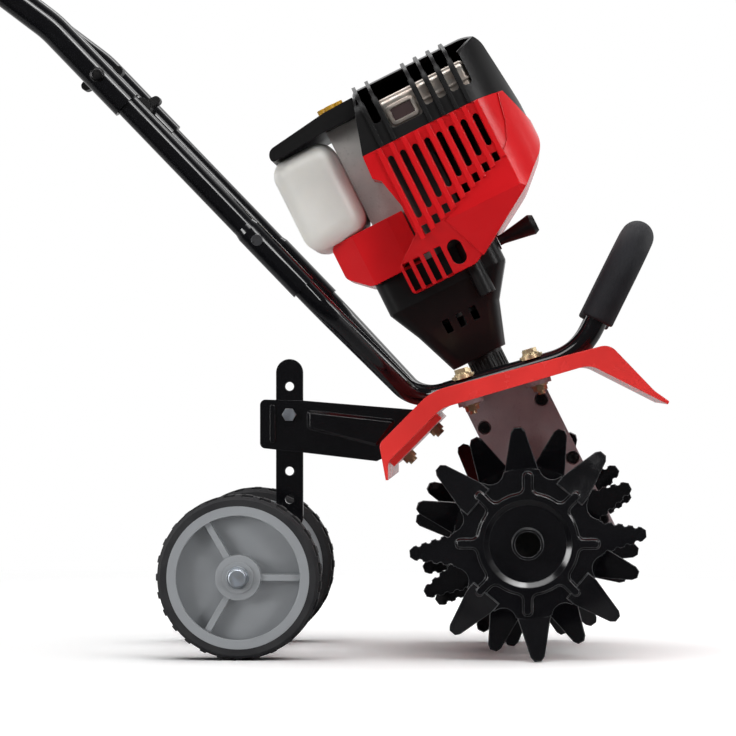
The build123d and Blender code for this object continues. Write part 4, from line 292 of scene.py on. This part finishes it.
def close_surface(board, sockets):
    """Ends a board with its one shader."""
    surface = board.add("ShaderNodeBsdfPrincipled", None, sockets)
    board.add("ShaderNodeOutputMaterial", None, {"Surface": surface})


def paint(name, colour, roughness, peel, edge_wear_and_highlight=None, edge_radius=0.0, wave=0.0):
    """Sprayed paint: orange peel, a drift of shade, waves of the sheet below, and lighter edges, partly
    wear and partly painted highlight.
    """
    material, board = new_board(name)
    place = board.place()
    drift = board.patches(place, scale=14.0, detail=3.0, low=0.35, high=0.65)
    dust = board.patches(place, scale=90.0, detail=5.0, low=0.45, high=0.75)
    skin = board.noise(place, scale=650.0, detail=1.0)
    tone = board.blend(drift, shade(colour, 0.9), shade(colour, 1.1))
    normal = None
    if edge_wear_and_highlight:
        normal, edge = soft_edge(board, edge_radius)
        # Painted highlight, with some wear: the edges are drawn in a lighter colour.
        tone = board.blend(edge * (0.25 + 0.5 * dust), tone, shade(edge_wear_and_highlight))
    if wave:
        dents = board.noise(place, scale=17.0, detail=1.0)
        normal = board.bump(strength=1.0, distance=wave, height=dents, normal=normal)
    close_surface(
        board,
        {
            "Base Color": tone,
            "Roughness": roughness + 0.08 * dust + 0.04 * drift,
            "IOR": PAINT_IOR,
            "Normal": board.bump(strength=peel, distance=0.0004, height=skin, normal=normal),
        },
    )
    return material


def plastic(name, colour, roughness, grain, ior):
    """Moulded plastic: a fine spark-eroded grain, flow marks in the gloss, and painted highlights on the
    edges.
    """
    material, board = new_board(name)
    place = board.place()
    flow = board.patches(place, scale=22.0, detail=3.0, low=0.15, high=0.85)
    pores = board.noise(place, scale=1500.0, detail=2.0)
    normal, edge = soft_edge(board, radius=0.0008)
    body = board.blend(flow, shade(colour, 0.92), shade(colour, 1.08))
    close_surface(
        board,
        {
            # Painted highlight: the edges are drawn in a lighter colour.
            "Base Color": board.blend(0.35 * edge, body, shade(colour, 1.9)),
            "Roughness": roughness + 0.1 * flow - 0.1 * edge,
            "IOR": ior,
            "Normal": board.bump(strength=grain, distance=0.0003, height=pores, normal=normal),
        },
    )
    return material


def casting(name, colour, metallic, painted_shade_from=None):
    """Die-cast metal: a sandy skin, darker pits, bright edges, and painted shade past a place on the
    engine, where the shroud shades the block.
    """
    material, board = new_board(name)
    place = board.place()
    cloud = board.patches(place, scale=30.0, detail=4.0, low=0.3, high=0.7)
    sand = board.noise(place, scale=700.0, detail=4.0)
    pits = board.patches(place, scale=260.0, detail=2.0, low=0.62, high=0.75)
    normal, edge = soft_edge(board, radius=0.001)
    body = board.blend(cloud, shade(colour, 0.82), shade(colour, 1.15))
    pitted = board.blend(0.3 * pits, body, shade(colour, 0.6))
    tone = board.blend(0.5 * edge, pitted, shade(colour, 1.8))
    if painted_shade_from:
        # Painted shade: the block goes dark past this place, standing in for the shadow under the shroud.
        painted_shade = board.ramp(board.dot(place, ENGINE_FORWARD), painted_shade_from, painted_shade_from + PAINTED_SHADE_FADE)
        tone = board.blend(painted_shade, tone, shade(colour, 0.12))
    relief = sand - 0.3 * pits
    close_surface(
        board,
        {
            "Base Color": tone,
            "Roughness": 0.48 + 0.12 * cloud - 0.1 * edge,
            "Metallic": metallic,
            "Normal": board.bump(strength=0.35, distance=0.0006, height=relief, normal=normal),
        },
    )
    return material


def plating(name, colour, tint, roughness, strut_colour=None):
    """Plated or turned steel: a tint that drifts, fine scratches, bright edges, and its own
    colour for the bolt in the strut."""
    material, board = new_board(name)
    place = board.place()
    drift = board.patches(place, scale=160.0, detail=3.0, low=0.35, high=0.65)
    scratch = board.noise(place, scale=2400.0, detail=2.0)
    normal, edge = soft_edge(board, radius=0.0005)
    body = board.blend(drift, shade(colour), shade(tint))
    if strut_colour:
        forward = board.ramp(board.axis_of(place, "X"), *STRUT_FADE)
        body = board.blend(forward, shade(strut_colour), body)
    close_surface(
        board,
        {
            "Base Color": board.blend(0.4 * edge, body, shade(colour, 1.4)),
            "Roughness": roughness + 0.12 * drift,
            "Metallic": 1.0,
            "Normal": board.bump(strength=0.15, distance=0.0002, height=scratch, normal=normal),
        },
    )
    return material


def rubber(name, colour, dust_colour, cell_scale, depth, ior):
    """Rubber or foam: open cells in a matt skin, with patches of dust."""
    material, board = new_board(name)
    place = board.place()
    dust = board.patches(place, scale=45.0, detail=5.0, low=0.4, high=0.75)
    cells = board.add(
        "ShaderNodeTexVoronoi", None, {"Vector": place, "Scale": cell_scale, "Randomness": 1.0}
    )
    fine = board.noise(place, scale=1800.0, detail=2.0)
    close_surface(
        board,
        {
            "Base Color": board.blend(0.45 * dust, shade(colour), shade(dust_colour)),
            "Roughness": 0.62 + 0.2 * dust,
            "IOR": ior,
            "Normal": board.bump(strength=0.4, distance=depth, height=cells + 0.4 * fine),
        },
    )
    return material


def grip_rubber(name, colour):
    """The smoother rubber of the hand grips and seals."""
    return rubber(name, colour, (0.04, 0.04, 0.042), cell_scale=1200.0, depth=0.0002, ior=1.4)


def tank_plastic(name, colour):
    """Milky blow-moulded plastic that lets some light in."""
    material, board = new_board(name)
    place = board.place()
    cloud = board.patches(place, scale=25.0, detail=3.0, low=0.3, high=0.7)
    skin = board.noise(place, scale=380.0, detail=2.0)
    close_surface(
        board,
        {
            "Base Color": board.blend(cloud, shade(colour, 0.95), shade(colour, 1.03)),
            "Roughness": 0.36 + 0.12 * cloud,
            "Subsurface Weight": 0.25,
            "Subsurface Radius": (0.012, 0.011, 0.009),
            "Subsurface Scale": 0.6,
            "IOR": 1.5,
            "Normal": board.bump(strength=0.12, distance=0.0006, height=skin),
        },
    )
    return material


def new_piece(name, shape, material, body):
    """A finished mesh as an object that rides on a body."""
    bmesh.ops.recalc_face_normals(shape, faces=shape.faces)
    mesh = bpy.data.meshes.new(name)
    shape.to_mesh(mesh)
    shape.free()
    mesh.materials.append(material)
    piece = bpy.data.objects.new(name, mesh)
    bpy.context.scene.collection.objects.link(piece)
    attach(piece, body)
    return piece


def edges_of(made):
    """The edges among what an operator returns."""
    return [part for part in made if isinstance(part, bmesh.types.BMEdge)]


def points_of(made):
    """The vertices among what an operator returns."""
    return [part for part in made if isinstance(part, bmesh.types.BMVert)]


def round_off(shape, parts, offset, segments, affect="EDGES"):
    """Rounds edges, or the corners of a plate."""
    bmesh.ops.bevel(
        shape, geom=parts, offset=offset, affect=affect, segments=segments, profile=0.5, material=-1
    )


def smooth_faces(shape, crease):
    """Smooth shading, with creases where faces meet at more than an angle in degrees."""
    sharp = math.radians(crease)
    for face in shape.faces:
        face.smooth = True
    for edge in shape.edges:
        if len(edge.link_faces) == 2 and edge.calc_face_angle() > sharp:
            edge.smooth = False


def dress(names, material):
    """Gives CAD solids a finish."""
    for name in names:
        slots = NODES[name].data.materials
        slots.clear()
        slots.append(material)


class TILLER_OT_stage(bpy.types.Operator):
    """Floor, world, softboxes and the camera of the photograph"""

    bl_idname = "tiller.stage"
    bl_label = "Studio"

    def execute(self, context):
        scene = context.scene
        sizes = scene.tiller_stage
        scene.view_settings.view_transform = "Standard"
        self.make_world(scene, sizes)
        floor = self.make_floor(scene, sizes)
        key = self.softbox("key_box", *KEY_BOX, sizes.key_power)
        fill = self.softbox("fill_box", *FILL_BOX, sizes.fill_power)
        top = self.softbox("top_box", *TOP_BOX, sizes.top_power)
        for lamp in (key, fill):
            self.keep_off(lamp, floor)
        for lamp in (fill, top):
            lamp.visible_glossy = False
        for name, (place, size, along, share) in STRIPS.items():
            strip = self.softbox(name, place, size, share * sizes.strip_power, along)
            strip.visible_diffuse = False
        self.make_camera(scene)
        return {"FINISHED"}

    def make_world(self, scene, sizes):
        world = bpy.data.worlds.new("studio")
        world.use_nodes = True
        scene.world = world
        board = Board(world.node_tree)
        seen, glossy, through = board.rays()
        direction = board.add("ShaderNodeTexCoord", output="Generated")
        backdrop = board.ramp(board.axis_of(direction, "Y"), *BACKDROP_FADE)
        mirrored = glossy.at_least(through) * (DIM + (1.0 - DIM) * backdrop)
        lit = (1.0 - seen.at_least(glossy).at_least(through)) * sizes.ambient
        surface = board.add(
            "ShaderNodeBackground",
            None,
            {"Color": grey(1.0), "Strength": seen.at_least(mirrored) + lit},
        )
        board.add("ShaderNodeOutputWorld", None, {"Surface": surface})

    def make_floor(self, scene, sizes):
        shape = bmesh.new()
        bmesh.ops.create_grid(shape, x_segments=2, y_segments=2, size=sizes.floor_size / 2)
        mesh = bpy.data.meshes.new("floor")
        shape.to_mesh(mesh)
        shape.free()
        floor = bpy.data.objects.new("floor", mesh)
        scene.collection.objects.link(floor)
        mesh.materials.append(self.floor_finish())
        return floor

    def floor_finish(self):
        """Shaded near the machine and plain white farther out."""
        material, board = new_board("pale_floor")
        place = board.place()
        reach = board.add(
            "ShaderNodeVectorMath", {"operation": "LENGTH"}, {0: place}, output="Value"
        )
        far = board.ramp(reach, *FLOOR_FADE)
        seen, glossy, through = board.rays()
        behind = board.ramp(board.axis_of(place, "Y"), *MIRROR_FADE)
        shown = seen.at_least(through).at_least(MIRROR_SHARE * glossy * behind)
        ahead_tone, behind_tone = MIRROR_TONES
        mirrored = board.blend(behind, grey(ahead_tone), grey(behind_tone))
        plain = board.blend(glossy, grey(FLOOR_TONE), mirrored)
        tone = board.blend(seen, plain, grey(SEEN_TONE))
        near = board.add("ShaderNodeBsdfDiffuse", None, {"Color": tone})
        white = board.add("ShaderNodeEmission", None, {"Strength": DIM + (1.0 - DIM) * shown})
        surface = board.add("ShaderNodeMixShader", None, {0: far, 1: near, 2: white})
        board.add("ShaderNodeOutputMaterial", None, {"Surface": surface})
        return material

    def softbox(self, name, place, size, power, along=LEVEL):
        """A lamp that faces the machine, with its long side along a direction."""
        lamp = bpy.data.lights.new(name, "AREA")
        lamp.shape = "RECTANGLE"
        lamp.size, lamp.size_y = size
        lamp.energy = power
        box = bpy.data.objects.new(name, lamp)
        box.location = place
        box.visible_camera = False
        back = (Vector(place) - LAMP_AIM).normalized()
        side = (along - along.dot(back) * back).normalized()
        box.rotation_euler = Matrix((side, back.cross(side), back)).transposed().to_euler()
        bpy.context.scene.collection.objects.link(box)
        return box

    def keep_off(self, lamp, floor):
        """Flags a lamp off the floor, so that only the box overhead draws shadows on it."""
        flagged = bpy.data.collections.new(f"{lamp.name}_flag")
        flagged.objects.link(floor)
        flagged.collection_objects[0].light_linking.link_state = "EXCLUDE"
        lamp.light_linking.receiver_collection = flagged

    def make_camera(self, scene):
        lens = bpy.data.cameras.new("photo_camera")
        lens.sensor_width = SENSOR
        lens.lens = FOCAL_PIXELS / PHOTO_WIDTH * SENSOR
        lens.clip_start = CLIP_NEAR
        lens.clip_end = CLIP_FAR
        camera = bpy.data.objects.new("photo_camera", lens)
        camera.location = CAMERA_PLACE
        half = PHOTO_WIDTH / 2
        aside = (half - LOOK_PIXEL[0]) / FOCAL_PIXELS
        above = (LOOK_PIXEL[1] - half) / FOCAL_PIXELS
        camera.rotation_euler = Vector((aside, 1.0, above)).to_track_quat("-Z", "Y").to_euler()
        scene.collection.objects.link(camera)
        scene.camera = camera


class TILLER_OT_painted_steel(bpy.types.Operator):
    """Paint on the guard, tubes, bracket and tine discs"""

    bl_idname = "tiller.painted_steel"
    bl_label = "Painted steel"

    def execute(self, context):
        colours = context.scene.tiller_colours
        # The edge colours below are partly wear and partly painted highlight lines along the edges.
        edge_wear_and_highlight = (0.8, 0.12, 0.10)
        guard = paint("red_paint", colours.guard, 0.2, 0.06, edge_wear_and_highlight, edge_radius=0.0014, wave=0.004)
        dress(["tine_guard"], guard)
        tubes = ["front_loop", "handle_brace"]
        for part in ("lower", "middle", "upper"):
            tubes += [f"{part}_handle_{side}" for side in SIDES]
        dress(tubes, paint("tube_paint", colours.black, 0.08, 0.003))
        edge_wear_and_highlight = (0.12, 0.12, 0.125)
        sheet = paint("sheet_paint", colours.black, 0.1, 0.008, edge_wear_and_highlight, edge_radius=0.0008, wave=0.003)
        dress(["wheel_strut", "wheel_bracket"], sheet)
        discs = [f"tine_disc_{row}_{side}" for row in ("inner", "outer") for side in SIDES]
        edge_wear_and_highlight = (0.3, 0.3, 0.31)
        tines = paint("tine_paint", colours.black, 0.1, 0.012, edge_wear_and_highlight, edge_radius=0.0014, wave=0.006)
        dress(discs, tines)
        return {"FINISHED"}


class TILLER_OT_gear_drive(bpy.types.Operator):
    """Cast gear case, shafts, bearings and the machine's fasteners"""

    bl_idname = "tiller.gear_drive"
    bl_label = "Gear drive and fasteners"

    def execute(self, context):
        colours = context.scene.tiller_colours
        dress(["gear_case_left", "gear_case_right"], casting("case_casting", colours.case, metallic=0.25))
        yellow_tint, strut_colour = (0.62, 0.49, 0.30), (0.34, 0.37, 0.41)
        zinc = plating("yellow_zinc", colours.zinc, yellow_tint, 0.36)
        dress(["guard_fasteners", "tine_pins"], zinc)
        bracket = plating("bracket_zinc", colours.zinc, yellow_tint, 0.36, strut_colour)
        dress(["bracket_fasteners"], bracket)
        silver = plating("bright_zinc", colours.silver, (0.5, 0.55, 0.62), 0.36)
        dress(["axle_nuts", "wheel_axle"], silver)
        black = plating("black_oxide", (0.03, 0.03, 0.032), (0.05, 0.048, 0.046), 0.3)
        dress(["carriage_bolts", "gear_case_screws", "tine_shaft"], black)
        dark = plating("dark_zinc", (0.25, 0.25, 0.26), (0.16, 0.16, 0.17), 0.25)
        dress(["handle_screws"], dark)
        steel = plating("turned_steel", (0.56, 0.55, 0.54), (0.45, 0.44, 0.43), 0.3)
        dress(["worm_shaft", "crankshaft", "clutch_hub", "clutch_drum"], steel)
        bronze = plating("bronze", (0.6, 0.4, 0.18), (0.5, 0.3, 0.12), 0.3)
        dress(["worm_wheel", "gear_bearings"], bronze)
        return {"FINISHED"}


class TILLER_OT_wheels(bpy.types.Operator):
    """Tyres and moulded rims"""

    bl_idname = "tiller.wheels"
    bl_label = "Wheels"

    def execute(self, context):
        colours = context.scene.tiller_colours
        rim = plastic("rim_plastic", colours.rim, 0.4, grain=0.12, ior=1.45)
        dress(["wheel_rim_left", "wheel_rim_right"], rim)
        dust = (0.045, 0.045, 0.045)
        tyre = rubber("tyre_rubber", colours.tyre, dust, cell_scale=900.0, depth=0.0003, ior=1.35)
        dress(["tyre_left", "tyre_right"], tyre)
        return {"FINISHED"}


class TILLER_OT_engine(bpy.types.Operator):
    """Engine covers, tank, block, muffler and choke knob"""

    bl_idname = "tiller.engine"
    bl_label = "Engine"

    def execute(self, context):
        colours = context.scene.tiller_colours
        dress(["engine_shroud"], plastic("red_plastic", colours.red, 0.2, grain=0.06, ior=1.4))
        moulded = plastic("moulded_black", colours.moulded, 0.32, grain=0.16, ior=1.36)
        covers = ["muffler_cover", "clutch_housing", "neck_collar", "air_box_cover", "fuel_cap"]
        dress(covers + ["starter_grip", "starter_reel"], moulded)
        dress(["fuel_tank"], tank_plastic("tank_plastic", colours.tank))
        # Painted shade: past 0.424 along the engine the block is drawn dark for the shroud's shadow.
        block = casting("block_casting", colours.alloy, metallic=0.6, painted_shade_from=0.424)
        dress(["engine_block", "flywheel"], block)
        dress(["muffler"], plating("pressed_steel", (0.62, 0.57, 0.52), (0.5, 0.42, 0.36), 0.3))
        dress(["choke_lever"], plastic("yellow_plastic", colours.yellow, 0.3, grain=0.08, ior=1.45))
        return {"FINISHED"}


class TILLER_OT_muffler_outlet(bpy.types.Operator):
    """Pressed frame round the outlet in the muffler's side"""

    bl_idname = "tiller.muffler_outlet"
    bl_label = "Muffler outlet"

    def execute(self, context):
        width, height, corner, lip = 0.027, 0.0185, 0.0045, 0.0026
        skirt_depth, rim_round = 0.004, 0.0007
        sink, draft, proud = 0.0014, 0.0006, 0.0003
        shape = bmesh.new()
        plate = bmesh.ops.create_grid(shape, x_segments=1, y_segments=1, size=0.5)["verts"]
        bmesh.ops.scale(shape, vec=(width, height, 1.0), verts=plate)
        round_off(shape, plate, corner, 6, affect="VERTICES")
        rim = shape.edges[:]
        skirt = bmesh.ops.extrude_edge_only(shape, edges=rim)["geom"]
        bmesh.ops.translate(shape, verts=points_of(skirt), vec=(0.0, 0.0, -skirt_depth))
        round_off(shape, rim, rim_round, 3)
        mouth = [max(shape.faces, key=lambda face: face.calc_area())]
        bmesh.ops.inset_region(shape, faces=mouth, thickness=lip, use_even_offset=True)
        bmesh.ops.inset_region(shape, faces=mouth, thickness=draft, depth=-sink, use_even_offset=True)
        # Painted shade: the sunk mouth gets a dark reddish finish for the shaded inside of the outlet.
        mouth[0].material_index = 1
        bmesh.ops.holes_fill(shape, edges=[edge for edge in shape.edges if edge.is_boundary])
        self.put_on(shape, sink + proud)
        smooth_faces(shape, crease=40.0)
        steel = bpy.data.materials["pressed_steel"]
        piece = new_piece("muffler_outlet", shape, steel, "chassis")
        # The dark reddish finish of the mouth is painted shade.
        painted_shade = plastic("outlet_painted_shade", (0.028, 0.011, 0.011), 0.5, grain=0.1, ior=1.4)
        piece.data.materials.append(painted_shade)
        return {"FINISHED"}

    def put_on(self, shape, stand):
        """Moves the frame from the origin on to the muffler's side."""
        forward, upward = 0.0315, 0.2255
        low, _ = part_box("muffler")
        outward = ENGINE_FORWARD.cross(ENGINE_UPWARD)
        place = ENGINE_FOOT + forward * ENGINE_FORWARD + upward * ENGINE_UPWARD
        place.y = low.y - stand
        turn = Matrix((ENGINE_FORWARD, ENGINE_UPWARD, outward)).transposed().to_4x4()
        bmesh.ops.transform(shape, matrix=Matrix.Translation(place) @ turn, verts=shape.verts)


class TILLER_OT_controls(bpy.types.Operator):
    """Throttle, stop switch, clamp knobs and shaft seals"""

    bl_idname = "tiller.controls"
    bl_label = "Controls"

    def execute(self, context):
        colours = context.scene.tiller_colours
        dress(["shaft_seals"], grip_rubber("seal_rubber", colours.tyre))
        hard = plastic("control_plastic", colours.moulded, 0.4, grain=0.2, ior=1.33)
        dress(["throttle_housing", "throttle_lever", "wing_knob_left", "wing_knob_right"], hard)
        dress(["stop_switch"], plastic("switch_plastic", colours.red, 0.3, grain=0.1, ior=1.45))
        return {"FINISHED"}


class TILLER_OT_foam_grip(bpy.types.Operator):
    """Foam sleeve on the front loop, up both legs and over the top"""

    bl_idname = "tiller.foam_grip"
    bl_label = "Foam grip"

    def execute(self, context):
        colours = context.scene.tiller_colours
        sizes = context.scene.tiller_grips
        end_round = 0.0022
        shape = bmesh.new()
        outer = self.wall(shape, sizes, sizes.foam_radius)
        inner = self.wall(shape, sizes, sizes.tube_radius)
        for rim, bore in zip(outer, inner):
            bmesh.ops.bridge_loops(shape, edges=rim + bore)
        round_off(shape, outer[0] + outer[1], end_round, 4)
        smooth_faces(shape, crease=50.0)
        dust = (0.016, 0.016, 0.02)
        skin = rubber("foam_skin", colours.foam, dust, cell_scale=1100.0, depth=0.0004, ior=1.3)
        sleeve = new_piece("foam_sleeve", shape, skin, "chassis")
        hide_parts("foam_grip")
        return {"FINISHED"}

    def wall(self, shape, sizes, radius):
        """One round wall of the sleeve; returns its first and its last ring of edges."""
        low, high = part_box("foam_grip")
        thick = sizes.foam_radius
        side = high.y - thick
        top = Vector((high.x - thick, 0.0, high.z - thick))
        foot = Vector(
            (low.x + thick * math.sin(sizes.foam_slope), 0.0, low.z + thick * math.cos(sizes.foam_slope))
        )
        climb = (top - foot).normalized()
        across = Vector((0.0, 1.0, 0.0))
        bend = sizes.foam_bend
        straight = (top - foot).length - bend
        ring = bmesh.ops.create_circle(shape, radius=radius, segments=48)["verts"]
        turn = climb.to_track_quat("Z", "Y").to_matrix().to_4x4()
        place = Matrix.Translation(foot - across * side) @ turn
        bmesh.ops.transform(shape, matrix=place, verts=ring)
        first = list({edge for point in ring for edge in point.link_edges})
        corner = foot + climb * straight
        hinge = climb.cross(across)
        rings = self.pull(shape, first, climb * straight)
        rings = self.swing(shape, rings, corner - across * (side - bend), hinge)
        rings = self.pull(shape, rings, across * 2.0 * (side - bend))
        rings = self.swing(shape, rings, corner + across * (side - bend), hinge)
        return first, self.pull(shape, rings, climb * -straight)

    def pull(self, shape, rings, way):
        """Draws a ring out along a straight run, in steps."""
        steps = 10
        for _ in range(steps):
            made = bmesh.ops.extrude_edge_only(shape, edges=rings)["geom"]
            bmesh.ops.translate(shape, verts=points_of(made), vec=way / steps)
            rings = edges_of(made)
        return rings

    def swing(self, shape, rings, centre, hinge):
        """Turns a ring through a right angle about a hinge."""
        made = bmesh.ops.spin(
            shape, geom=rings, cent=centre, axis=hinge, angle=math.pi / 2, steps=14, use_duplicate=False
        )
        return edges_of(made["geom_last"])


class TILLER_OT_hand_grips(bpy.types.Operator):
    """Ribbed rubber grips on the ends of the handles"""

    bl_idname = "tiller.hand_grips"
    bl_label = "Hand grips"

    # The closed end's thickness, the length past it, and the front ring's length and height
    cap, length = 0.004, 0.120
    ring, stand = 0.004, 0.003
    # The grooves between the ribs: count, floor, depth, flank, and room kept at the two ends
    grooves, groove, depth, flank = 13, 0.0022, 0.0012, 0.0006
    end_room, total_room = 0.006, 0.012
    # Rounds of the closed end, and the foot and edge of the ring
    corner, chamfer, ring_foot, ring_edge = 0.003, 0.0008, 0.002, 0.001

    def execute(self, context):
        colours = context.scene.tiller_colours
        sizes = context.scene.tiller_grips
        skin = grip_rubber("grip_rubber", colours.tyre)
        for side in SIDES:
            shape = self.profile(sizes)
            bmesh.ops.spin(
                shape,
                geom=shape.edges[:] + shape.verts[:],
                cent=(0.0, 0.0, 0.0),
                axis=(0.0, 0.0, 1.0),
                angle=2.0 * math.pi,
                steps=56,
                use_merge=True,
            )
            bmesh.ops.remove_doubles(shape, verts=shape.verts, dist=0.00001)
            self.put_on(shape, sizes, f"hand_grip_{side}")
            smooth_faces(shape, crease=40.0)
            piece = new_piece(f"ribbed_grip_{side}", shape, skin, "chassis")
            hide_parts(f"hand_grip_{side}")
        return {"FINISHED"}

    def profile(self, sizes):
        """Half section in radius and length: closed end, ribs, front ring and bore."""
        outer, bore = sizes.grip_radius, sizes.grip_bore
        crown = outer + self.stand
        front = self.length - self.ring
        line = [(0.0, -self.cap), (outer - self.corner, -self.cap)]
        line += [(outer - self.chamfer, self.chamfer - self.cap), (outer, self.corner - self.cap)]
        for count in range(self.grooves):
            start = self.end_room + count * (front - self.total_room) / self.grooves
            end = start + self.groove
            line += [(outer, start), (outer - self.depth, start + self.flank)]
            line += [(outer - self.depth, end), (outer, end + self.flank)]
        line += [(outer, front - self.ring_foot), (crown - self.chamfer, front)]
        line += [(crown, front + self.ring_edge), (crown, self.length - self.ring_edge)]
        line += [(crown - self.ring_edge, self.length), (bore, self.length), (bore, 0.0), (0.0, 0.0)]
        shape = bmesh.new()
        points = [shape.verts.new((radius, 0.0, place)) for radius, place in line]
        for first, second in zip(points, points[1:]):
            shape.edges.new((first, second))
        return shape

    def put_on(self, shape, sizes, node):
        """Moves a grip from the origin on to its tube."""
        low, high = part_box(node)
        slope = sizes.grip_slope
        end = Vector(
            (
                low.x + sizes.grip_radius * math.sin(slope),
                (low.y + high.y) / 2,
                high.z - sizes.grip_radius * math.cos(slope),
            )
        )
        along = Vector((math.cos(slope), 0.0, -math.sin(slope)))
        turn = along.to_track_quat("Z", "Y").to_matrix().to_4x4()
        place = Matrix.Translation(end + along * self.cap) @ turn
        bmesh.ops.transform(shape, matrix=place, verts=shape.verts)


class TILLER_PT_sidebar(bpy.types.Panel):
    """Lists the pieces in the sidebar"""

    bl_idname = "TILLER_PT_sidebar"
    bl_label = "Mini tiller"
    bl_space_type = "VIEW_3D"
    bl_region_type = "UI"
    bl_category = "Tiller"

    def draw(self, context):
        for operator in OPERATORS:
            self.layout.operator(operator.bl_idname)
        scene = context.scene
        for group in (scene.tiller_colours, scene.tiller_grips, scene.tiller_stage):
            for name in group.__annotations__:
                self.layout.prop(group, name)


OPERATORS = (
    TILLER_OT_stage,
    TILLER_OT_painted_steel,
    TILLER_OT_gear_drive,
    TILLER_OT_wheels,
    TILLER_OT_engine,
    TILLER_OT_muffler_outlet,
    TILLER_OT_controls,
    TILLER_OT_foam_grip,
    TILLER_OT_hand_grips,
)
CLASSES = (TillerColours, TillerGrips, TillerStage, *OPERATORS, TILLER_PT_sidebar)


def register():
    for made in CLASSES:
        bpy.utils.register_class(made)
    bpy.types.Scene.tiller_colours = bpy.props.PointerProperty(type=TillerColours)
    bpy.types.Scene.tiller_grips = bpy.props.PointerProperty(type=TillerGrips)
    bpy.types.Scene.tiller_stage = bpy.props.PointerProperty(type=TillerStage)


def unregister():
    del bpy.types.Scene.tiller_stage
    del bpy.types.Scene.tiller_grips
    del bpy.types.Scene.tiller_colours
    for made in reversed(CLASSES):
        bpy.utils.unregister_class(made)


def main():
    register()
    for operator in OPERATORS:
        group, action = operator.bl_idname.split(".")
        getattr(getattr(bpy.ops, group), action)()


if __name__ == "__main__":
    main()
